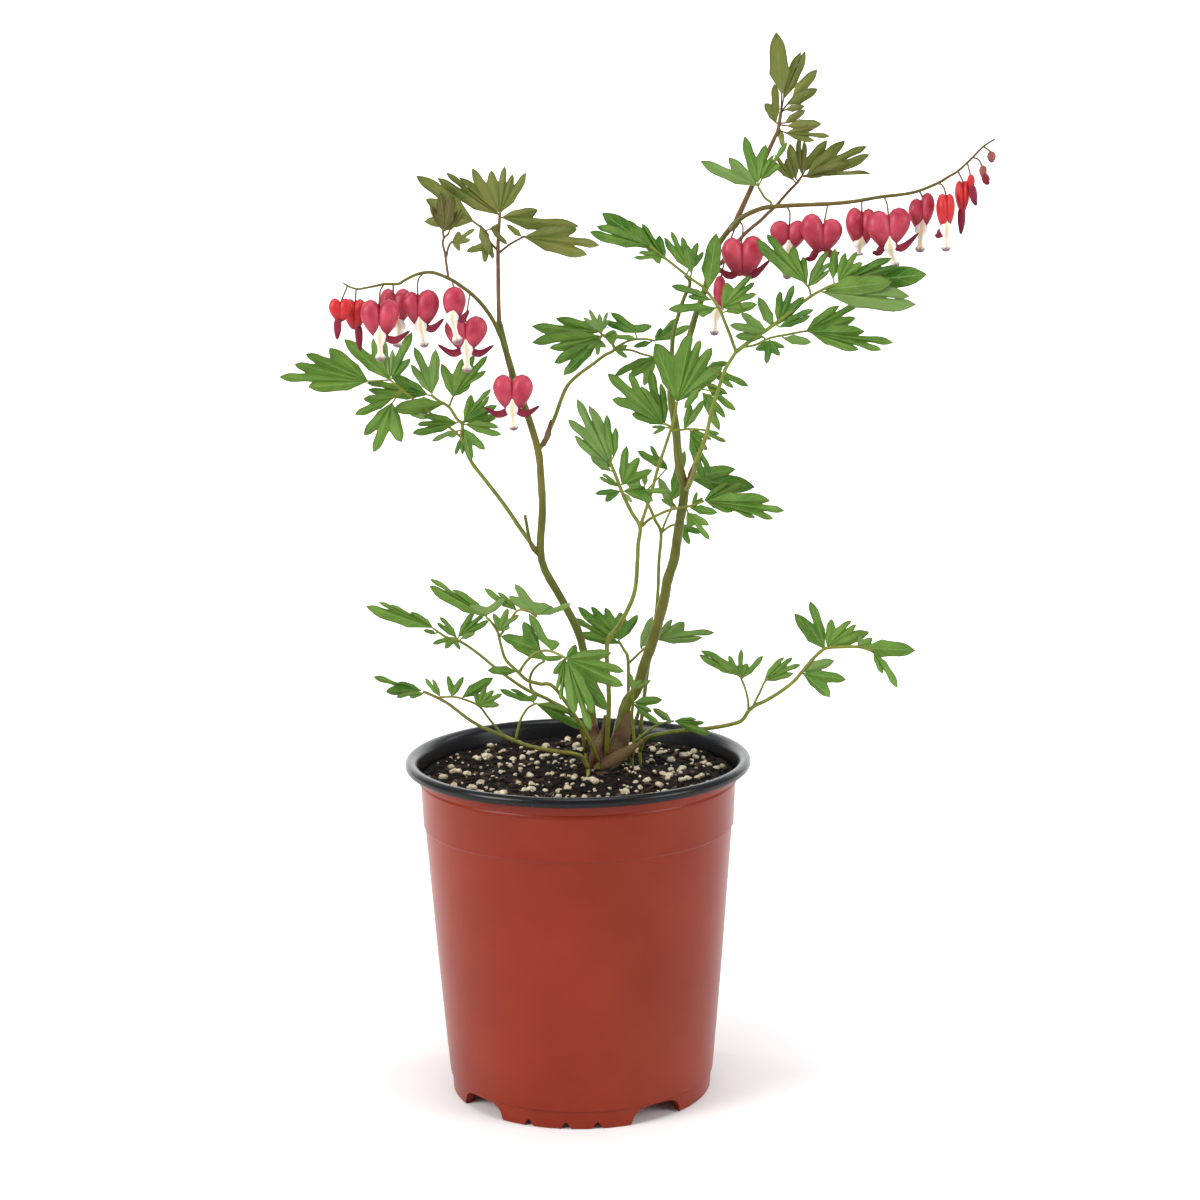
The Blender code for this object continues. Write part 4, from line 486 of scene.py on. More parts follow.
# %% Runs of points
def filled(points):
    known = [i for i, p in enumerate(points) if len(p) == 3]
    out = list(points)
    for a, b in zip(known, known[1:]):
        run = [0.0]
        for i in range(a, b):
            run.append(run[-1] + math.dist(points[i][:2], points[i + 1][:2]))
        for i in range(a, b + 1):
            share = run[i - a] / run[-1]
            out[i] = (*points[i][:2], points[a][2] * (1 - share) + points[b][2] * share)
    return out


def nearest(stems, x, y):
    best = None
    for r0, r1, points in stems:
        pts = filled(points)
        last = len(pts) - 1
        for i, (p, q) in enumerate(zip(pts, pts[1:])):
            dx, dy = q[0] - p[0], q[1] - p[1]
            share = min(max(((x - p[0]) * dx + (y - p[1]) * dy) / (dx * dx + dy * dy), 0.0), 1.0)
            px, py = p[0] + share * dx, p[1] + share * dy
            depth = p[2] + share * (q[2] - p[2])
            away = math.dist((x, y), (px, py))
            if best is None or away < best[0]:
                best = (away, depth, at(px, py, depth), r0 + (r1 - r0) * (i + share) / last)
    return best[1:]


def smooth_run(values, per=4):
    values = [np.array(v, float) for v in values]
    ends = [2 * values[0] - values[1]] + values + [2 * values[-1] - values[-2]]
    out = []
    for a, b, c, d in zip(ends, ends[1:], ends[2:], ends[3:]):
        for step in range(per):
            t = step / per
            out.append(0.5 * (2 * b + (c - a) * t + (2 * a - 5 * b + 4 * c - d) * t ** 2
                              + (3 * b - a - 3 * c + d) * t ** 3))
    return out + [values[-1]]


print("filled depths:", [round(p[2], 1) for p in filled(CANES["left_raceme"][0][2])])

# %% [markdown]
# A stem is a curve with a round bevel, whose radius changes from point to point. It is made a mesh
# and added to the bmesh of its piece. Nodes swell a little, as they do on a real herbaceous stem.

# %% Stems
STEM_ROUND = 3
TUBE_MERGE = 0.00001


def new_object(name, data):
    ob = bpy.data.objects.new(name, data)
    bpy.context.scene.collection.objects.link(ob)
    return ob


def add_tube(bm, places, radii, slot):
    curve = bpy.data.curves.new("stem", "CURVE")
    curve.dimensions = "3D"
    curve.bevel_depth = 1.0
    curve.bevel_resolution = STEM_ROUND
    curve.use_fill_caps = True
    spline = curve.splines.new("POLY")
    spline.points.add(len(places) - 1)
    for point, place, radius in zip(spline.points, places, radii):
        point.co = (*place, 1.0)
        point.radius = radius
    line = new_object("stem", curve)
    bpy.context.view_layer.update()
    mesh = bpy.data.meshes.new_from_object(line)
    for poly in mesh.polygons:
        poly.material_index = slot
        poly.use_smooth = len(poly.vertices) == 4
    bpy.data.objects.remove(line, do_unlink=True)
    start = len(bm.verts)
    bm.from_mesh(mesh)
    bm.verts.ensure_lookup_table()
    bmesh.ops.remove_doubles(bm, verts=bm.verts[start:], dist=TUBE_MERGE)
    bpy.data.meshes.remove(mesh)


def add_stem(bm, spec, slot, swell=0.06):
    r0, r1, points = spec
    run = smooth_run(filled(points))
    last = len(run) - 1
    places = [at(*p) for p in run]
    radii = [(r0 + (r1 - r0) * i / last) * MM * (1 + swell * math.sin(i * 1.9) * math.sin(i * 0.53))
             for i in range(last + 1)]
    add_tube(bm, places, radii, slot)


def finish_object(name, bm, materials):
    bmesh.ops.recalc_face_normals(bm, faces=bm.faces[:])
    mesh = bpy.data.meshes.new(name)
    bm.to_mesh(mesh)
    bm.free()
    for mat in materials:
        mesh.materials.append(mat)
    return new_object(name, mesh)


def dress(ob, slot, *nodes):
    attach(ob, "root")
    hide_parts(*nodes)
    print("%s: %d faces" % (ob.name, len(ob.data.polygons)))


# %% [markdown]
# ## Leaflets
# A leaflet is built lobe by lobe. Each half of a lobe is a small grid: one side lies on the rib, the
# other follows the seam to the notch between two lobes and then the lobe's own edge. The grids meet
# along ribs and seams and are merged there. The sheet is then extruded along its own normal, which
# gives the blade its thickness.

# %% Half a lobe as a grid
ALONG = 14
ACROSS = 5
SEAM_ROWS = 6
LOBE_BULGE = 0.08
LOBE_WAIST = 0.03
ARCH_LIFT = 0.55
RIPPLE_LIFT = 0.22
TIP_DROOP = 1.1
EDGE_DROOP = 0.45
BLADE_MM = 0.32


def mark_faces(verts, uv, marks, slot):
    for face in {f for v in verts for f in v.link_faces}:
        face.smooth = True
        face.material_index = slot
        for loop in face.loops:
            loop[uv].uv = marks[loop.vert]


def half_lobe(bm, base, tip, notch, uv, tint_layer, tint, place, relief, phase):
    grid = bmesh.ops.create_grid(bm, x_segments=ACROSS, y_segments=ALONG, size=1.0)
    verts = grid["verts"]
    bx, by = base
    nx, ny = notch
    tx, ty = tip
    ex, ey = tx - nx, ty - ny
    mx, my = (bx + tx) / 2, (by + ty) / 2
    side = 1.0 if (nx - mx) * -ey + (ny - my) * ex > 0 else -1.0
    marks = {}
    for v in verts:
        u = (v.co.x + 1) / 2
        row = round((v.co.y + 1) / 2 * ALONG)
        t = row / ALONG
        free = max(0.0, (row - SEAM_ROWS) / (ALONG - SEAM_ROWS))
        if row <= SEAM_ROWS:
            seam = row / SEAM_ROWS
            ox, oy = bx + (nx - bx) * seam, by + (ny - by) * seam
        else:
            swell = LOBE_BULGE * math.sin(math.pi * free) - LOBE_WAIST * math.sin(2 * math.pi * free)
            swell *= side
            ox = nx + ex * free - ey * swell
            oy = ny + ey * free + ex * swell
        rx, ry = bx + (tx - bx) * t, by + (ty - by) * t
        x, y = rx + (ox - rx) * u, ry + (oy - ry) * u
        arch = (0.5 - 0.5 * math.cos(math.pi * u)) * math.sin(math.pi * min(t, 0.98)) ** 0.6
        ripple = math.sin(7 * t + phase) * u ** 2 * free
        lift = relief * (ARCH_LIFT * arch + RIPPLE_LIFT * ripple - TIP_DROOP * t ** 2.2
                         - EDGE_DROOP * u ** 3 * free)
        v.co = place(x, y, lift)
        marks[v] = (u, t)
        v[tint_layer] = tint
    mark_faces(verts, uv, marks, 1)
    return verts


# %% [markdown]
# A whole leaflet finds its depth at the nearest stem, lays out the notches between its lobes and
# adds two half grids for each lobe. A leaflet whose base is off the stem gets a short stalk.

# %% Whole leaflet
SLOPE = 0.48
RELIEF_MM = 1.9
FULL_LENGTH = 45
CUT_DRAW = (0.55, 0.67)
CUT_PER_TIP = 0.03
CUT_LIMIT = 0.8
CUT_EASE = 0.12
ONE_TIP_PLUMP = 0.17
LOBED_PLUMP = 0.12
WIDEST_AT = 0.36
BLADE_MERGE = 0.00003
HOLD_GAP = 0.0006
HOLD_RADII = (0.00045, 0.0004, 0.0004)


def outline_notches(base, tips, cut):
    bx, by = base
    turn = 1.0
    if len(tips) > 1:
        a, b = tips[0], tips[-1]
        turn = 1.0 if (a[0] - bx) * (b[1] - by) - (a[1] - by) * (b[0] - bx) > 0 else -1.0
    plump = turn * (ONE_TIP_PLUMP if len(tips) == 1 else LOBED_PLUMP)

    def aside(tip, off):
        dx, dy = tip[0] - bx, tip[1] - by
        return (bx + dx * WIDEST_AT - dy * off, by + dy * WIDEST_AT + dx * off)

    notches = [aside(tips[0], -plump)]
    for p, q in zip(tips, tips[1:]):
        mid = ((p[0] + q[0]) / 2, (p[1] + q[1]) / 2)
        gap = math.dist(p, q) / max(math.dist(p, base), math.dist(q, base))
        share = cut - CUT_EASE * min(gap, 1.0)
        notches.append((bx + (mid[0] - bx) * share, by + (mid[1] - by) * share))
    notches.append(aside(tips[-1], plump))
    return notches


def add_leaflet(bm, stems, spec, uv, tint_layer, draw):
    base, tips, along, across, shift = spec[:5]
    depth, root, _ = nearest(stems, *base)
    depth += shift
    mean = (sum(t[0] for t in tips) / len(tips), sum(t[1] for t in tips) / len(tips))
    length = math.dist(base, mean)
    ux, uy = (mean[0] - base[0]) / length, (mean[1] - base[1]) / length

    def flat(x, y):
        du = (x - base[0]) * ux + (y - base[1]) * uy
        dv = (y - base[1]) * ux - (x - base[0]) * uy
        return at(x, y, depth + (along * du + across * dv) * SLOPE)

    origin = flat(*base)
    normal = (flat(base[0] + 10, base[1]) - origin).cross(flat(base[0], base[1] + 10) - origin)
    normal.normalize()

    def place(x, y, lift):
        return flat(x, y) + normal * lift

    relief = min(1.0, length / FULL_LENGTH) * RELIEF_MM * MM
    cut = min(CUT_LIMIT, draw.uniform(*CUT_DRAW) + CUT_PER_TIP * len(tips))
    notches = outline_notches(base, tips, cut)
    tint = draw.random() if len(spec) < 6 else spec[5]
    verts = []
    for i, tip in enumerate(tips):
        for notch in (notches[i], notches[i + 1]):
            verts += half_lobe(bm, base, tip, notch, uv, tint_layer, tint, place, relief,
                               draw.uniform(0, 6))
    bmesh.ops.remove_doubles(bm, verts=verts, dist=BLADE_MERGE)
    verts = [v for v in verts if v.is_valid]
    faces = list({f for v in verts for f in v.link_faces})
    bmesh.ops.recalc_face_normals(bm, faces=faces)
    grown = bmesh.ops.extrude_face_region(bm, geom=faces, use_keep_orig=True)["geom"]
    raised = [g for g in grown if isinstance(g, bmesh.types.BMVert)]
    bmesh.ops.translate(bm, vec=normal * (BLADE_MM * MM), verts=raised)
    if (root - origin).length > HOLD_GAP:
        inner = flat(base[0] + ux * 2, base[1] + uy * 2)
        add_tube(bm, [root, (root + inner) / 2, inner], HOLD_RADII, 0)


# %% [markdown]
# ## Finishes
# Shared effects are node groups: one puts a mottle of two colours on a surface from its Object
# coordinates. The leaf reads its own UV map, where u runs from rib to edge and v from base to tip.

# %% A mottle group
SOCKETS = [("Scale", "INPUT", "Float"), ("Low", "INPUT", "Color"), ("High", "INPUT", "Color"),
           ("Color", "OUTPUT", "Color"), ("Fac", "OUTPUT", "Float")]


def mottle_group():
    tree = bpy.data.node_groups.new("Mottle", "ShaderNodeTree")
    for label, way, kind in SOCKETS:
        tree.interface.new_socket(label, in_out=way, socket_type="NodeSocket" + kind)
    nodes, links = tree.nodes, tree.links
    inp, out = nodes.new("NodeGroupInput"), nodes.new("NodeGroupOutput")
    coord = nodes.new("ShaderNodeTexCoord")
    cloud = nodes.new("ShaderNodeTexNoise")
    cloud.inputs["Detail"].default_value = 5.0
    ramp = nodes.new("ShaderNodeMapRange")
    ramp.inputs["From Min"].default_value = 0.35
    ramp.inputs["From Max"].default_value = 0.65
    mix = nodes.new("ShaderNodeMix")
    mix.data_type = "RGBA"
    links.new(coord.outputs["Object"], cloud.inputs["Vector"])
    links.new(inp.outputs["Scale"], cloud.inputs["Scale"])
    links.new(cloud.outputs["Fac"], ramp.inputs["Value"])
    links.new(ramp.outputs["Result"], mix.inputs["Factor"])
    links.new(inp.outputs["Low"], mix.inputs["A"])
    links.new(inp.outputs["High"], mix.inputs["B"])
    links.new(mix.outputs["Result"], out.inputs["Color"])
    links.new(ramp.outputs["Result"], out.inputs["Fac"])
    return tree


MOTTLE = mottle_group()
print("group:", MOTTLE.name, "with", len(MOTTLE.nodes), "nodes")


def feed(tree, node, names, *values):
    """Each value goes to the input of its name: a number, a colour or another node's output."""
    for name, value in zip(names, values):
        socket = node.inputs[name]
        if isinstance(value, (float, int)):
            socket.default_value = value
        elif isinstance(value, tuple):
            socket.default_value = (*value, 1.0)
        else:
            tree.links.new(value, socket)
    return node


def new_material(name, rough, **settings):
    mat = bpy.data.materials.new(name)
    mat.use_nodes = True
    shader = mat.node_tree.nodes["Principled BSDF"]
    names = ["Roughness"] + [key.replace("_", " ") for key in settings]
    feed(mat.node_tree, shader, names, rough, *settings.values())
    return mat, mat.node_tree, shader


def add_mottle(tree, scale, low, high):
    node = tree.nodes.new("ShaderNodeGroup")
    node.node_tree = MOTTLE
    return feed(tree, node, ("Scale", "Low", "High"), scale, low, high)


def mix_color(tree, factor, a, b, blend="MIX"):
    node = tree.nodes.new("ShaderNodeMix")
    node.data_type = "RGBA"
    node.blend_type = blend
    return feed(tree, node, ("Factor", "A", "B"), factor, a, b).outputs["Result"]


def ranged(tree, value, low, high, to_low=0.0, to_high=1.0):
    node = tree.nodes.new("ShaderNodeMapRange")
    names = ("Value", "From Min", "From Max", "To Min", "To Max")
    return feed(tree, node, names, value, low, high, to_low, to_high).outputs["Result"]


def math_node(tree, operation, *values):
    node = tree.nodes.new("ShaderNodeMath")
    node.operation = operation
    return feed(tree, node, (0, 1), *values).outputs["Value"]


def bump(tree, shader, height, strength, distance):
    node = tree.nodes.new("ShaderNodeBump")
    feed(tree, node, ("Height", "Strength", "Distance"), height, strength, distance)
    feed(tree, shader, ("Normal",), node.outputs["Normal"])


def uv_parts(tree):
    coord = tree.nodes.new("ShaderNodeUVMap")
    coord.uv_map = "UVMap"
    split = tree.nodes.new("ShaderNodeSeparateXYZ")
    tree.links.new(coord.outputs["UV"], split.inputs["Vector"])
    return split.outputs["X"], split.outputs["Y"]


# %% [markdown]
# A leaf blade is darker between its veins, with a pale rib and side veins that leave it at an angle.
# Young leaves have not lost their bronze tone, and their edges are browner still.

# %% Leaf finish
def leaf_material(name, dark, light, rib_tone, edge_tone, edge_share, pale_tone):
    mat, tree, shader = new_material(name, 0.55, Subsurface_Weight=0.1, Subsurface_Scale=0.002,
                                     Specular_IOR_Level=0.22)
    shader.inputs["Subsurface Radius"].default_value = (0.6, 1.0, 0.2)
    across, along = uv_parts(tree)
    tint = tree.nodes.new("ShaderNodeAttribute")
    tint.attribute_name = "tint"
    cloth = add_mottle(tree, 90.0, dark, light)
    fresh = ranged(tree, tint.outputs["Fac"], 0.0, 1.0, 0.0, 0.75)
    tone = mix_color(tree, fresh, cloth.outputs["Color"], light)
    pale = ranged(tree, tint.outputs["Fac"], 0.74, 1.0, 0.0, 0.55)
    tone = mix_color(tree, pale, tone, pale_tone)
    slant = math_node(tree, "ADD", math_node(tree, "MULTIPLY", along, 34.0),
                      math_node(tree, "MULTIPLY", across, -9.0))
    wave = math_node(tree, "SINE", slant)
    ribs = math_node(tree, "MAXIMUM", ranged(tree, wave, 0.86, 1.0, 0.0, 0.35),
                     ranged(tree, across, 0.0, 0.09, 0.8, 0.0))
    tone = mix_color(tree, ribs, tone, rib_tone)
    margin = math_node(tree, "MULTIPLY", ranged(tree, across, 0.84, 0.97, 0.0, edge_share),
                       ranged(tree, along, 0.3, 0.6))
    tone = mix_color(tree, margin, tone, edge_tone)
    feed(tree, shader, ("Base Color",), tone)
    bump(tree, shader, math_node(tree, "SUBTRACT", 1.0, ribs), 0.35, 0.0006)
    return mat


LEAF_LOOK = leaf_material("leaf blade", (0.032, 0.110, 0.008), (0.125, 0.225, 0.032), (0.20, 0.32, 0.09),
                          (0.075, 0.060, 0.018), 0.8, (0.21, 0.28, 0.12))
YOUNG_LOOK = leaf_material("young leaf blade", (0.070, 0.100, 0.016), (0.165, 0.175, 0.040), (0.22, 0.18, 0.06),
                           (0.085, 0.030, 0.010), 0.85, (0.050, 0.026, 0.010))
print("leaf finish:", len(LEAF_LOOK.node_tree.nodes), "nodes")

# %% [markdown]
# Stems shade from olive to red-brown along their length. A slow mottle in Object coordinates
# stands for that, and a finer one for the small scars of the skin.

# %% Stem finishes
def stem_material(name, low, high, scale, rough=0.42, top=None):
    mat, tree, shader = new_material(name, rough, Subsurface_Weight=0.05, Subsurface_Scale=0.001,
                                     Specular_IOR_Level=0.3)
    wide = add_mottle(tree, scale, low, high)
    fine = add_mottle(tree, scale * 14, (0.62, 0.62, 0.62), (1.0, 1.0, 1.0))
    tone = mix_color(tree, 0.8, wide.outputs["Color"], fine.outputs["Color"], "MULTIPLY")
    if top:
        place = tree.nodes.new("ShaderNodeTexCoord")
        parts = tree.nodes.new("ShaderNodeSeparateXYZ")
        tree.links.new(place.outputs["Object"], parts.inputs["Vector"])
        tone = mix_color(tree, ranged(tree, parts.outputs["Z"], 0.38, 0.46, 0.0, 0.7), tone, top)
    feed(tree, shader, ("Base Color",), tone)
    bump(tree, shader, fine.outputs["Fac"], 0.2, 0.0003)
    return mat


CANE_LOOK = stem_material("cane skin", (0.105, 0.140, 0.008), (0.170, 0.135, 0.018), 12.0,
                          top=(0.105, 0.048, 0.016))
PETIOLE_LOOK = stem_material("petiole skin", (0.17, 0.24, 0.025), (0.24, 0.21, 0.030), 20.0)
SHEATH_LOOK = stem_material("papery sheath", (0.13, 0.050, 0.026), (0.20, 0.15, 0.055), 90.0, 0.6)
BROWN_LOOK = stem_material("young stem skin", (0.13, 0.070, 0.020), (0.20, 0.10, 0.035), 30.0)
print("stem finish:", len(CANE_LOOK.node_tree.nodes), "nodes")

# %% [markdown]
# A heart's skin is thin and satin, with a random mottle of a full and a pale tone and fine lines
# running down it. Painted shade darkens its lower part, where the hanging pouch turns under towards
# the foot, and the very top of each lobe is darker too.

# %% Petal finishes
def heart_material(name, deep, full, pale):
    mat, tree, shader = new_material(name, 0.42, Subsurface_Weight=0.12, Subsurface_Scale=0.002,
                                     Specular_IOR_Level=0.35, Coat_Weight=0.04, Coat_Roughness=0.4)
    shader.inputs["Subsurface Radius"].default_value = (1.0, 0.25, 0.3)
    around, down = uv_parts(tree)
    cloud = add_mottle(tree, 120.0, full, pale)
    wave = math_node(tree, "SINE", math_node(tree, "MULTIPLY", around, 150.0))
    lines = ranged(tree, wave, 0.2, 1.0, 0.0, 0.16)
    tone = mix_color(tree, lines, cloud.outputs["Color"], deep)
    # painted shade: the lower part darkens towards the foot, where the pouch turns under
    tone = mix_color(tree, ranged(tree, down, 0.62, 1.0, 0.0, 0.85), tone, deep)
    # the very top of each lobe is darker as well
    tone = mix_color(tree, ranged(tree, down, 0.0, 0.10, 0.35, 0.0), tone, deep)
    feed(tree, shader, ("Base Color",), tone)
    bump(tree, shader, lines, 0.25, 0.0004)
    return mat


HEART_LOOK = heart_material("heart petal", (0.170, 0.003, 0.014), (0.36, 0.014, 0.040), (0.52, 0.055, 0.090))
RED_LOOK = heart_material("young heart petal", (0.26, 0.003, 0.006), (0.50, 0.010, 0.014), (0.60, 0.030, 0.030))
BUD_LOOK = heart_material("closed bud", (0.12, 0.028, 0.018), (0.26, 0.060, 0.050), (0.34, 0.14, 0.085))
TIP_LOOK = heart_material("reflexed tip", (0.070, 0.001, 0.008), (0.17, 0.004, 0.018), (0.25, 0.010, 0.035))


def inner_material():
    mat, tree, shader = new_material("inner petal", 0.4, Subsurface_Weight=0.2, Subsurface_Scale=0.002)
    around, down = uv_parts(tree)
    stripe = math_node(tree, "ABSOLUTE", math_node(tree, "SUBTRACT", around, 0.75))
    stripe = ranged(tree, stripe, 0.02, 0.07, 0.75, 0.0)
    tone = mix_color(tree, stripe, (0.90, 0.86, 0.80), (0.72, 0.50, 0.17))
    tone = mix_color(tree, ranged(tree, down, 0.80, 0.90, 0.0, 0.9), tone, (0.16, 0.075, 0.11))
    feed(tree, shader, ("Base Color",), tone)
    return mat


INNER_LOOK = inner_material()
print("finishes so far:", len(bpy.data.materials))

# %% [markdown]
# ## Canes, racemes and leaves
# Each node of the frame gets one piece: its stems in slot 0 and its blades in slot 1. Stems that
# rise from the soil go on straight down into their holes. A stem that grows from another one starts
# at an anchor inside it, and a few leaflets too small for the solids are added.

# %% Build the stems and leaves
ROOT_DEPTH = 0.1455
ROOT_OVERLAP = Vector((0, 0, 0.0008))
CROWN_Y = 700
ANCHOR_FLARE = 1.08
PETIOLE_FLARE = (1.25, 1.2)
YOUNG = ("left_shoot", "elbow_sprig", "top_shoot", "second_cluster")
seeded = random.Random(5)
ANCHORS = {
    "left_shoot": (499, 323, 0), "mid_left_leaf": (539, 450, -4.6), "left_leaf": (539.5, 555, 0),
    "right_upper_leaf": (684, 490, 0.4), "top_shoot": (736.6, 220.6, 0), "low_top_leaf": (772, 207, -7),
    "second_cluster": (710, 269, 10.8), "elbow_sprig": (448.6, 279.4, -18),
    "left_raceme": (507, 353, -0.6), "right_raceme": (731, 229, 1.4),
}
EXTRA_LEAFLETS = {
    "right_upper_leaf": [
        ((706, 368), [(728, 362)], 0.1, 0.1, 2), ((712, 372), [(748.5, 385.6), (733, 387)], 0.2, 0.1, 2),
        ((705, 383), [(735.4, 410), (727, 393)], 0.2, 0.0, 3),
        ((702, 392), [(725.8, 416.5), (720, 429)], 0.1, 0.2, 3),
        ((700, 387), [(684.6, 408)], 0.2, 0.1, 2), ((690, 478), [(734, 468)], 0.2, 0.1, 2),
        ((692, 480), [(754, 486)], 0.2, 0.1, 3),
    ],
    "elbow_sprig": [
        ((445, 231), [(432.3, 208)], 0.1, 0.3, -2, 1.0), ((445, 231), [(440, 192.6)], 0.0, 0.2, -2.6, 1.0),
        ((445, 231), [(452.4, 194.5)], 0.0, -0.2, -3, 1.0), ((445, 231), [(463.3, 210)], 0.1, -0.3, -2.4, 1.0),
    ],
}


def anchored(name, spec):
    """A stem that starts inside the stem it grows from."""
    if name not in ANCHORS:
        return spec
    return (spec[0] * ANCHOR_FLARE, spec[1], [ANCHORS[name]] + spec[2])


def add_root(bm, spec):
    r0, _, points = spec
    top = at(*filled(points)[0])
    low = Vector((top.x, top.y, ROOT_DEPTH))
    add_tube(bm, [low, (low + top) / 2, top + ROOT_OVERLAP], [r0 * MM] * 3, 0)


for name, stems in CANES.items():
    bm = bmesh.new()
    for i, spec in enumerate(stems):
        add_stem(bm, spec if i else anchored(name, spec), 0)
    if name.endswith("cane"):
        add_root(bm, stems[0])
    dress(finish_object(name + "_skin", bm, [CANE_LOOK]), "cane", name)

for name, leaf in LEAVES.items():
    bm = bmesh.new()
    uv = bm.loops.layers.uv.new("UVMap")
    tint = bm.verts.layers.float.new("tint")
    for i, spec in enumerate(leaf["stems"]):
        r0, r1, points = spec if i else anchored(name, spec)
        add_stem(bm, (r0 * PETIOLE_FLARE[0], r1 * PETIOLE_FLARE[1], points), 0, 0.03)
    if leaf["stems"][0][2][0][1] > CROWN_Y:
        add_root(bm, leaf["stems"][0])
    for spec in leaf["leaflets"] + EXTRA_LEAFLETS.get(name, []):
        add_leaflet(bm, leaf["stems"], spec, uv, tint, seeded)
    look, looks = "leaf", [PETIOLE_LOOK, LEAF_LOOK]
    if name in YOUNG:
        look, looks = "young_leaf", [BROWN_LOOK, YOUNG_LOOK]
    dress(finish_object(name + "_blades", bm, looks), look, name)

# %% [markdown]
# ## Blooms
# A heart is two inflated pouches side by side. Each is a UV sphere whose rings are set along a line
# from the top of the lobe to the foot, with a width and a depth for every ring. The same skin, made
# flat and narrow, gives the reflexed tips and the inner petals.

# %% A skin along a line
def new_skin_mesh():
    bm = bmesh.new()
    return bm, bm.loops.layers.uv.new("UVMap")


def add_skin(bm, path, widths, depths, uv, slot, level=False, rings=18, around=24):
    sphere = bmesh.ops.create_uvsphere(bm, u_segments=around, v_segments=rings, radius=1.0)
    stops = np.linspace(0, 1, len(widths))
    path = [Vector(p) for p in path]
    marks = {}
    for v in sphere["verts"]:
        t = math.acos(max(-1.0, min(1.0, v.co.z))) / math.pi
        turn = math.atan2(v.co.y, v.co.x)
        rim = math.hypot(v.co.x, v.co.y)
        spot = t * (len(path) - 1)
        i = min(int(spot), len(path) - 2)
        centre = path[i].lerp(path[i + 1], spot - i)
        heading = (path[i + 1] - path[i]).normalized()
        aside = Vector((1, 0, 0)) if level else heading.cross(Vector((0, 1, 0))).normalized()
        wide, deep = (np.interp(t, stops, sizes) if rim > 0.01 else 0.0 for sizes in (widths, depths))
        v.co = centre + aside * (math.cos(turn) * wide) + Vector((0, 1, 0)) * (math.sin(turn) * deep)
        marks[v] = ((turn / math.tau) % 1.0, t)
    mark_faces(sphere["verts"], uv, marks, slot)


FULLEST = 0.42
FOOT_SHARE = 0.26
DEPTH_SHARE = 0.115
FOOT_DRAW = 0.22
DRAWN_FROM = 0.3


def pouch_width(t):
    if t < FULLEST:
        return math.sqrt(max(0.0, 1 - (1 - t / FULLEST) ** 2))
    fall = (t - FULLEST) / (1 - FULLEST)
    return FOOT_SHARE + (1 - FOOT_SHARE) * math.cos(fall * math.pi / 2) ** 0.8


POUCH_WIDTHS = [pouch_width(t) for t in np.linspace(0, 1, 61)]


def add_pouch(bm, box, foot, depth, uv):
    x0, x1, y0, y1 = box
    half = (y1 - y0) * DEPTH_SHARE
    mid = (x0 + x1) / 2
    drawn = foot[0] + (mid - foot[0]) * FOOT_DRAW
    path = []
    for i in range(13):
        t = i / 12
        pull = max(0.0, (t - DRAWN_FROM) / (1 - DRAWN_FROM)) ** 1.6
        path.append(at(mid * (1 - pull) + drawn * pull, y0 + (y1 - y0) * t, depth))
    scale = (at(x1, y0, depth) - at(x0, y0, depth)).x / 2
    widths, depths = ([w * most for w in POUCH_WIDTHS] for most in (scale, half * MM))
    add_skin(bm, path, widths, depths, uv, 0, level=True)


# %% [markdown]
# A whole bloom hangs from its raceme by a thread. The outer petals end in tips that turn up and
# out, and in an open heart the white inner petals hang down between them as a narrow tongue.

# %% Whole blooms
FLARE_MM = 2.6
THREAD = 0.00042
REFLEX_WIDTHS = (0.0009, 0.0015, 0.0019, 0.0018, 0.0012, 0.0005)
REFLEX_DEPTHS = (0.0010, 0.0011, 0.0009, 0.0007, 0.0005, 0.0003)
TONGUE_WIDTHS = (0.0004, 0.0014, 0.0028, 0.0030, 0.0012, 0.0012, 0.0025, 0.0013)
TONGUE_DEPTHS = (0.0004, 0.0012, 0.0020, 0.0022, 0.0011, 0.0011, 0.0020, 0.0010)


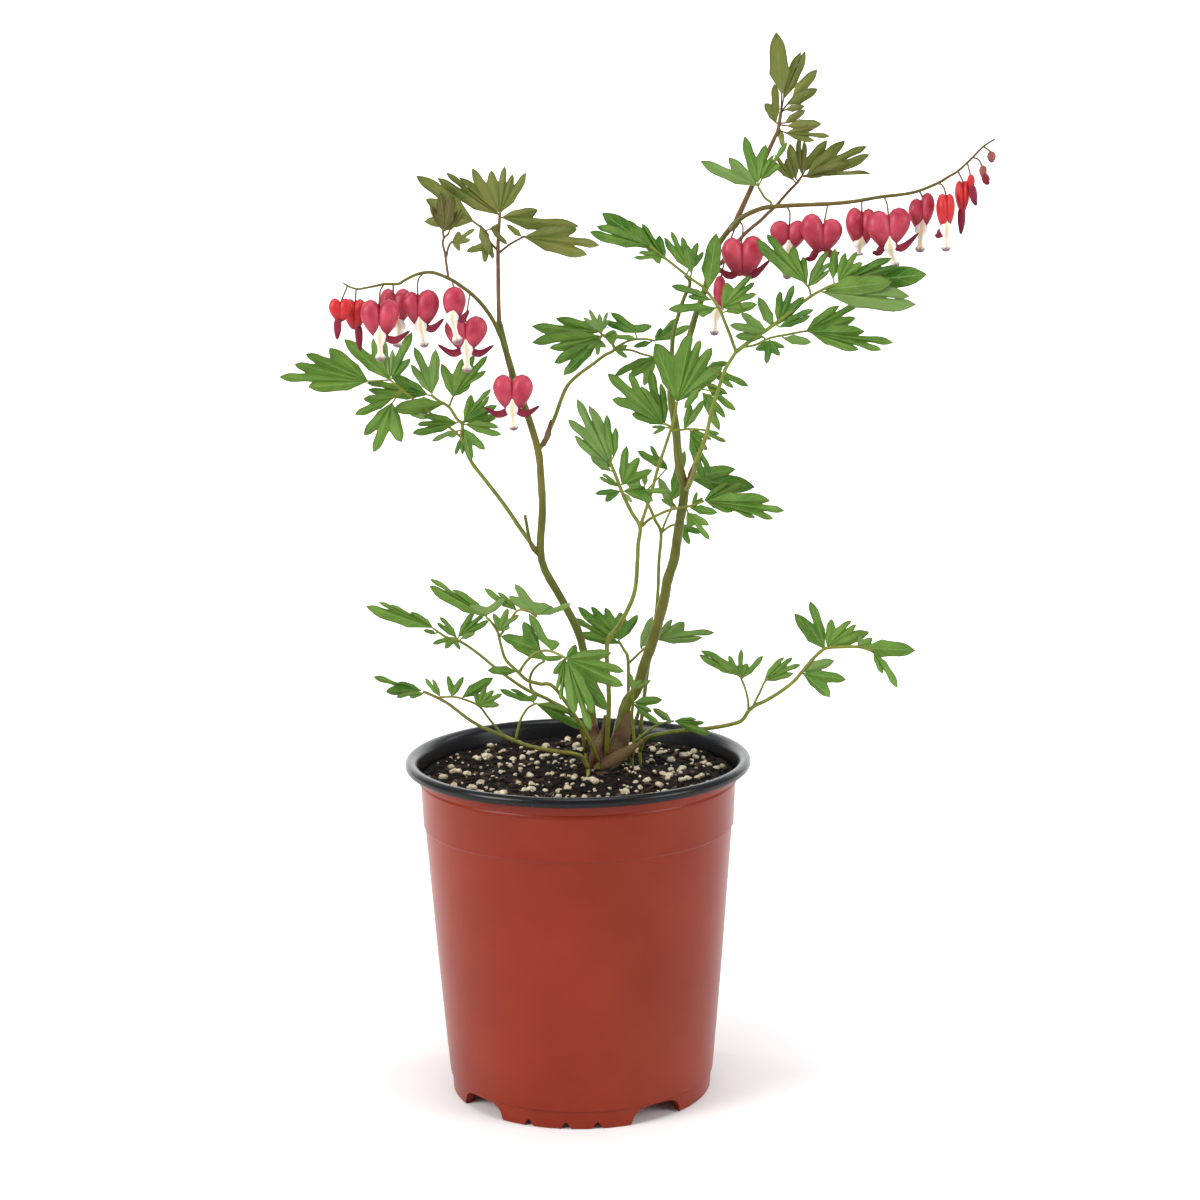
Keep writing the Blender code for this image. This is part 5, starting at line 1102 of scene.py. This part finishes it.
def build_bloom(index, spec):
    raceme, shift, hang, boxes, reflexes, inner, line, colour = spec
    name = "bloom_%02d" % (index + 1)
    depth, root, radius = nearest(CANES[raceme + "_raceme"], *line[0])
    here = depth + shift
    foot = (sum((b[0] + b[1]) / 2 for b in boxes) / len(boxes), max(b[3] for b in boxes))
    size = foot[1] - min(b[2] for b in boxes)
    bm, uv = new_skin_mesh()
    for box in boxes:
        add_pouch(bm, box, foot, here, uv)
    run = [(x, y, depth + shift * 0.5) for x, y in line[1:]]
    run += [(*hang, here), (hang[0], hang[1] + size * 0.12, here)]
    places = [at(*p) for p in run]
    away = (places[0] - root).normalized()
    places.insert(0, root + away * (radius * MM * 0.6))
    places = [Vector(p) for p in smooth_run(places)]
    add_tube(bm, places, [THREAD] * len(places), 2)
    for a, b in reflexes:
        drop = abs(b[0] - a[0]) * 0.16 + 1.5
        start = (a[0] * 0.6 + foot[0] * 0.4, a[1] - 2.5, here - 0.6)
        knots = [start, (a[0] * 0.8 + b[0] * 0.2, a[1] + drop * 0.4, here - 0.9),
                 ((a[0] + b[0]) / 2, (a[1] + b[1]) / 2 + drop, here - 1.2), (*b, here - 1.8)]
        path = [at(*p) for p in smooth_run(knots, 3)]
        add_skin(bm, path, REFLEX_WIDTHS, REFLEX_DEPTHS, uv, 1, rings=14, around=14)
    petals = HEART_LOOK if colour == HEART else RED_LOOK
    looks = [BUD_LOOK if index >= len(BLOOMS) - 2 else petals, TIP_LOOK, BROWN_LOOK]
    dress(finish_object(name + "_petals", bm, looks), colour, name)
    if inner:
        bm, uv = new_skin_mesh()
        (ax, ay), (bx, by) = inner
        rise = min(13.0, size * 0.34)
        path = [at(foot[0] * (1 - t) + ax * t, ay - rise * (1 - t), here - FLARE_MM * (1 - t * 0.6))
                for t in (0.0, 0.33, 0.66, 1.0)]
        path += [at(ax + (bx - ax) * t, ay + (by - ay) * t, here - FLARE_MM * 0.4 * (1 - t))
                 for t in (0.35, 0.6, 0.8, 1.0)]
        add_skin(bm, path, TONGUE_WIDTHS, TONGUE_DEPTHS, uv, 0, rings=28, around=18)
        dress(finish_object(name + "_tongue", bm, [INNER_LOOK]), "inner_petal", name + "_inner")


for index, spec in enumerate(BLOOMS):
    build_bloom(index, spec)

# %% [markdown]
# Papery sheaths wrap the crown, where the canes leave the roots, and smaller ones sit in the forks.
# They are the same skins: a line of points in the photograph, with a half width at each.

# %% Sheaths
SHEATHS = {
    "right_cane": [
        ([(602, 778, 5), (611, 758, 5), (621, 738, 7), (629, 708, 10)], [0.0040, 0.0054, 0.0044, 0.0020]),
        ([(590, 774, 1), (594, 758, 0), (600, 740, 0), (606, 722, 1)], [0.0012, 0.0024, 0.0018, 0.0004]),
        ([(588, 776, 0), (604, 765, -1), (624, 753, 0), (644, 740, 2)], [0.0012, 0.0034, 0.0028, 0.0005]),
        ([(687, 490, -1), (692, 474, -2), (697, 456, -2)], [0.0012, 0.0019, 0.0004]),
    ],
    "left_cane": [
        ([(601, 775, 2), (598, 750, 3), (592, 722, 5)], [0.0034, 0.0036, 0.0020]),
        ([(543, 447, -4), (548, 434, -5), (551, 419, -5)], [0.0008, 0.0016, 0.0004]),
    ],
}
for name, sheaths in SHEATHS.items():
    bm, uv = new_skin_mesh()
    for points, widths in sheaths:
        path = [at(*p) for p in smooth_run(points, 3)]
        add_skin(bm, path, widths, [w * 0.8 for w in widths], uv, 0, rings=20, around=20)
    dress(finish_object(name + "_sheaths", bm, [SHEATH_LOOK]), "cane", name)

# %% [markdown]
# ## The pot
# The pot is turned: one profile goes round the axis once. Its lip is a rolled tube of black plastic,
# the wall is terracotta red, and the underside is raised on a ring of feet.

# %% Pot profile
POT_HEIGHT = 0.1636
LIP = POT_HEIGHT - 0.0046
STEP = 0.1316
RIDGE = 0.153
FOOT_RADIUS = 0.0627
POT_STEPS = 160
PROFILE = [
    (0.0, 0.0), (0.021, 0.0), (0.022, 0.0006), (0.026, 0.0088), (0.0578, 0.0088), (0.0586, 0.0004),
    (0.0592, 0.0), (0.0621, 0.0), (0.0627, 0.0005), (0.0631, 0.0084), (0.0640, 0.0092), (0.0663, 0.036),
    (0.0688, 0.066), (0.0713, 0.1), (0.0736, STEP - 0.0006), (0.0744, STEP + 0.0004), (0.0752, RIDGE - 0.0008),
    (0.0760, RIDGE - 0.0003), (0.0760, RIDGE + 0.0004), (0.0756, RIDGE + 0.0010), (0.0762, LIP - 0.0004),
    (0.0768, LIP), (0.0812, LIP), (0.0820, LIP + 0.0004), (0.0825, LIP + 0.0013), (0.0825, LIP + 0.0028),
    (0.0820, POT_HEIGHT - 0.0008), (0.0811, POT_HEIGHT - 0.0001), (0.0800, POT_HEIGHT),
    (0.0785, POT_HEIGHT - 0.0003), (0.0770, POT_HEIGHT - 0.0018), (0.0762, LIP + 0.0006),
    (0.0750, RIDGE - 0.001), (0.0731, STEP), (0.0627, 0.0115), (0.0, 0.0105),
]


def plastic(name, low, high, rough, scale):
    mat, tree, shader = new_material(name, rough, Specular_IOR_Level=0.25)
    tone = add_mottle(tree, scale, low, high)
    feed(tree, shader, ("Base Color",), tone.outputs["Color"])
    grain = add_mottle(tree, 2600.0, (0, 0, 0), (1, 1, 1))
    bump(tree, shader, grain.outputs["Fac"], 0.08, 0.0002)
    return mat


RED_PLASTIC = plastic("terracotta plastic", (0.215, 0.016, 0.002), (0.250, 0.023, 0.004), 0.32, 22.0)
BLACK_PLASTIC = plastic("black plastic", (0.005, 0.005, 0.006), (0.009, 0.009, 0.010), 0.24, 30.0)
print("pot profile: %d points" % len(PROFILE))

# %% Turn the pot
TURN_MERGE = 0.00002


def turned(profile, steps):
    bm = bmesh.new()
    verts = [bm.verts.new((r, 0.0, z)) for r, z in profile]
    edges = [bm.edges.new(pair) for pair in zip(verts, verts[1:])]
    bmesh.ops.spin(bm, geom=verts + edges, cent=(0, 0, 0), axis=(0, 0, 1), angle=math.tau, steps=steps,
                   use_merge=True)
    bmesh.ops.remove_doubles(bm, verts=bm.verts[:], dist=TURN_MERGE)
    return bm


bm = turned(PROFILE, POT_STEPS)
bmesh.ops.recalc_face_normals(bm, faces=bm.faces[:])
for face in bm.faces:
    mid = face.calc_center_median()
    lip_face = mid.z > LIP - 0.0001
    inside = face.normal.dot(Vector((mid.x, mid.y, 0))) < 0 and mid.z > 0.0105
    face.material_index = 1 if lip_face or inside else 0
    face.smooth = True
pot = finish_object("pot_shell", bm, [RED_PLASTIC, BLACK_PLASTIC])
print("turned pot: %d faces" % len(pot.data.polygons))

# %% [markdown]
# Gaps between the feet let water out, and each foot has small notches. Both are cut with a Boolean
# that is worked in at once. A cut is its angle round the pot, its width, how high it rises for that
# width, and how much it narrows upwards.

# %% Cut the gaps and the notches
GAP_ANGLES = (-49.0, 35.0, 127.0, 218.0)
NOTCH_ANGLES = (-23.0, -6.5, 7.0, 84.0, 166.0, 180.0, 264.0)
CUTS = [(angle, 0.027, 0.6, 0.14) for angle in GAP_ANGLES]
CUTS += [(angle, 0.005, 1.3, 0.7) for angle in NOTCH_ANGLES]
CUTTER_DEPTH = 0.016
SQUARENESS = 0.55

for angle, width, rise, taper in CUTS:
    bm = bmesh.new()
    bmesh.ops.create_cone(bm, cap_ends=True, segments=40, radius1=width / 2, radius2=width / 2,
                          depth=CUTTER_DEPTH)
    for v in bm.verts:
        x, y, z = v.co
        x, y = (math.copysign(abs(2 * c / width) ** SQUARENESS, c) * width / 2 for c in (x, y))
        v.co = Vector((z + FOOT_RADIUS + 0.0010, x * (1.05 - taper * 2 * y / width), y * rise))
    turn = Matrix.Rotation(math.radians(angle - 90), 3, "Z")
    bmesh.ops.rotate(bm, verts=bm.verts[:], cent=(0, 0, 0), matrix=turn)
    arch = finish_object("arch", bm, [])
    cut = pot.modifiers.new("Arch", "BOOLEAN")
    cut.operation = "DIFFERENCE"
    cut.solver = "MANIFOLD"
    cut.object = arch
    bpy.context.view_layer.update()
    worked = pot.evaluated_get(bpy.context.evaluated_depsgraph_get())
    cut_mesh = bpy.data.meshes.new_from_object(worked)
    pot.modifiers.clear()
    pot.data = cut_mesh
    bpy.data.objects.remove(arch, do_unlink=True)
pot.data.shade_smooth()
pot.data.set_sharp_from_angle(angle=math.radians(34))
dress(pot, "pot", "pot")

# %% [markdown]
# ## The soil
# Potting mix is dark and crumbly, and it lies in a low mound round the crown. A disc is spun and
# its points are moved by noise.

# %% Soil surface
SOIL_LEVEL = 0.1545
SOIL_RADIUS = 0.0745
SOIL_RINGS = 60


def soil_height(x, y):
    mound = 0.0028 * math.exp(-((x - 0.009) ** 2 + (y - 0.008) ** 2) / 0.0009)
    ripple = 0.0007 * math.sin(x * 210 + 1.3) * math.cos(y * 170 - 0.4)
    ripple += 0.0005 * math.sin(x * 390 - y * 260)
    return SOIL_LEVEL + mound + ripple


def crumb_material(name, low, high, scale, rough=0.9):
    mat, tree, shader = new_material(name, rough, Specular_IOR_Level=0.2)
    tone = add_mottle(tree, scale, low, high)
    feed(tree, shader, ("Base Color",), tone.outputs["Color"])
    bump(tree, shader, tone.outputs["Fac"], 0.6, 0.0008)
    return mat


SOIL_LOOK = crumb_material("potting mix", (0.003, 0.0016, 0.0010), (0.013, 0.007, 0.004), 700.0)
BARK_LOOK = crumb_material("bark", (0.020, 0.010, 0.005), (0.085, 0.042, 0.020), 300.0, 0.8)
PERLITE_LOOK = crumb_material("perlite", (0.40, 0.33, 0.20), (0.72, 0.64, 0.48), 500.0, 0.85)

surface = [(SOIL_RADIUS * i / SOIL_RINGS, 0.0) for i in range(SOIL_RINGS + 1)]
bm = turned(surface + [(SOIL_RADIUS - 0.0006, -0.004), (0.0, -0.006)], 120)
for v in bm.verts:
    x, y, z = v.co
    rough = noise.noise(Vector((x, y, 0.0)) * 260) * 0.0011
    rough += noise.noise(Vector((x, y, 3.0)) * 700) * 0.0007
    v.co.z = soil_height(x, y) + (rough if z > -0.001 else z)
for face in bm.faces:
    face.smooth = True
print("soil surface: %d faces" % len(bm.faces))

# %% [markdown]
# Crumbs, bark and white perlite are icospheres, made uneven by noise and turned a little. A seeded
# draw strews them over the disc, so that they lie the same way in every render.

# %% Strew crumbs, bark and perlite
scatter = random.Random(23)


def strew(count, size, slot, flat=1.0, long=1.0, detail=1, sink=0.2, reach=0.072):
    for _ in range(count):
        turn, radius = scatter.uniform(0, math.tau), reach * math.sqrt(scatter.random())
        x, y = radius * math.cos(turn), radius * math.sin(turn)
        grain = bmesh.ops.create_icosphere(bm, subdivisions=detail, radius=scatter.uniform(*size))
        tilt = [scatter.uniform(-0.5, 0.5), scatter.uniform(-0.5, 0.5), scatter.uniform(0, 6.3)]
        spin = Euler(tilt).to_matrix()
        lift = Vector((x, y, soil_height(x, y) + size[0] * sink))
        seed = Vector((x, y, radius)) * 900
        for v in grain["verts"]:
            shape = v.co * (1 + 0.35 * noise.noise(v.co * 900 + seed))
            v.co = spin @ Vector((shape.x * long, shape.y, shape.z * flat)) + lift
        for face in {f for v in grain["verts"] for f in v.link_faces}:
            face.material_index = slot
            face.smooth = detail > 1


strew(1500, (0.0006, 0.0016), 0, 0.8, 1.2)
strew(220, (0.0008, 0.0020), 1, 0.35, 2.1)
strew(260, (0.0005, 0.0012), 2, 0.8, 1.1, 1, 0.6)
strew(150, (0.0010, 0.0022), 2, 0.75, 1.2, 2, 0.6)
dress(finish_object("soil_crumbs", bm, [SOIL_LOOK, BARK_LOOK, PERLITE_LOOK]), "soil", "soil")

# %% [markdown]
# ## Studio
# The plant stands on a pale sweep that rises behind it. One large soft light comes from the upper
# left, a weaker one fills from the right, and one hangs above. Two more only light the backdrop,
# and a pale world lifts the shadows.

# %% Floor and backdrop
SWEEP_FRONT, SWEEP_BACK, SWEEP_TOP = -2.6, 2.4, 3.2
SWEEP_BEND = 0.6
SWEEP_WIDTH = 8.0
bm = bmesh.new()
line = [(SWEEP_FRONT, 0.0)]
line += [(SWEEP_BACK + SWEEP_BEND * math.sin(a), SWEEP_BEND - SWEEP_BEND * math.cos(a))
         for a in np.linspace(0, math.pi / 2, 12)]
line.append((SWEEP_BACK + SWEEP_BEND, SWEEP_TOP))
strip = [bm.verts.new((-SWEEP_WIDTH / 2, y, z)) for y, z in line]
edges = [bm.edges.new(pair) for pair in zip(strip, strip[1:])]
moved = bmesh.ops.extrude_edge_only(bm, edges=edges)
far_side = [e for e in moved["geom"] if isinstance(e, bmesh.types.BMVert)]
bmesh.ops.translate(bm, vec=(SWEEP_WIDTH, 0, 0), verts=far_side)
for face in bm.faces:
    face.smooth = True
paper, tree, shader = new_material("studio paper", 0.9)
feed(tree, shader, ("Base Color",), (0.93, 0.93, 0.925))
floor = finish_object("studio_sweep", bm, [paper])
print("sweep: %d faces" % len(floor.data.polygons))

# %% Lights and world
def soft_light(name, place, aim, size, power, tint=(1.0, 1.0, 1.0)):
    lamp = bpy.data.lights.new(name, "AREA")
    lamp.shape = "DISK"
    lamp.size = size
    lamp.energy = power
    lamp.color = tint
    ob = new_object(name, lamp)
    ob.location = place
    ob.rotation_euler = (Vector(aim) - Vector(place)).to_track_quat("-Z", "Y").to_euler()


soft_light("left bank", (-1.5, -0.9, 1.1), (0, 0, 0.25), 1.0, 28, (1.0, 0.99, 0.97))
soft_light("right bank", (1.6, -0.8, 0.9), (0, 0, 0.22), 1.0, 15)
soft_light("top", (0.1, -0.3, 2.0), (0, 0, 0.25), 1.2, 15)
soft_light("backdrop left", (-1.6, 1.0, 1.6), (-0.8, 3.0, 0.9), 1.6, 60)
soft_light("backdrop right", (1.6, 1.0, 1.6), (0.8, 3.0, 0.9), 1.6, 60)
world = bpy.data.worlds.new("studio")
bpy.context.scene.world = world
world.use_nodes = True
sky = world.node_tree.nodes["Background"]
feed(world.node_tree, sky, ("Color", "Strength"), (0.93, 0.95, 1.0), 0.42)
print("lights:", len(bpy.data.lights))

# %% [markdown]
# The camera stands where the sight lines start, so the points above fall where they were read.

# %% Camera
lens = bpy.data.cameras.new("camera")
lens.sensor_width = SENSOR_MM
lens.lens = FOCAL * SENSOR_MM / PICTURE
lens.clip_start = 0.01
camera = new_object("camera", lens)
camera.matrix_world = Matrix.Translation(EYE) @ Matrix((SIDE, UP, -FWD)).transposed().to_4x4()
bpy.context.scene.camera = camera
bpy.context.scene.view_settings.view_transform = "Standard"
print("lens: %.1f mm" % lens.lens)
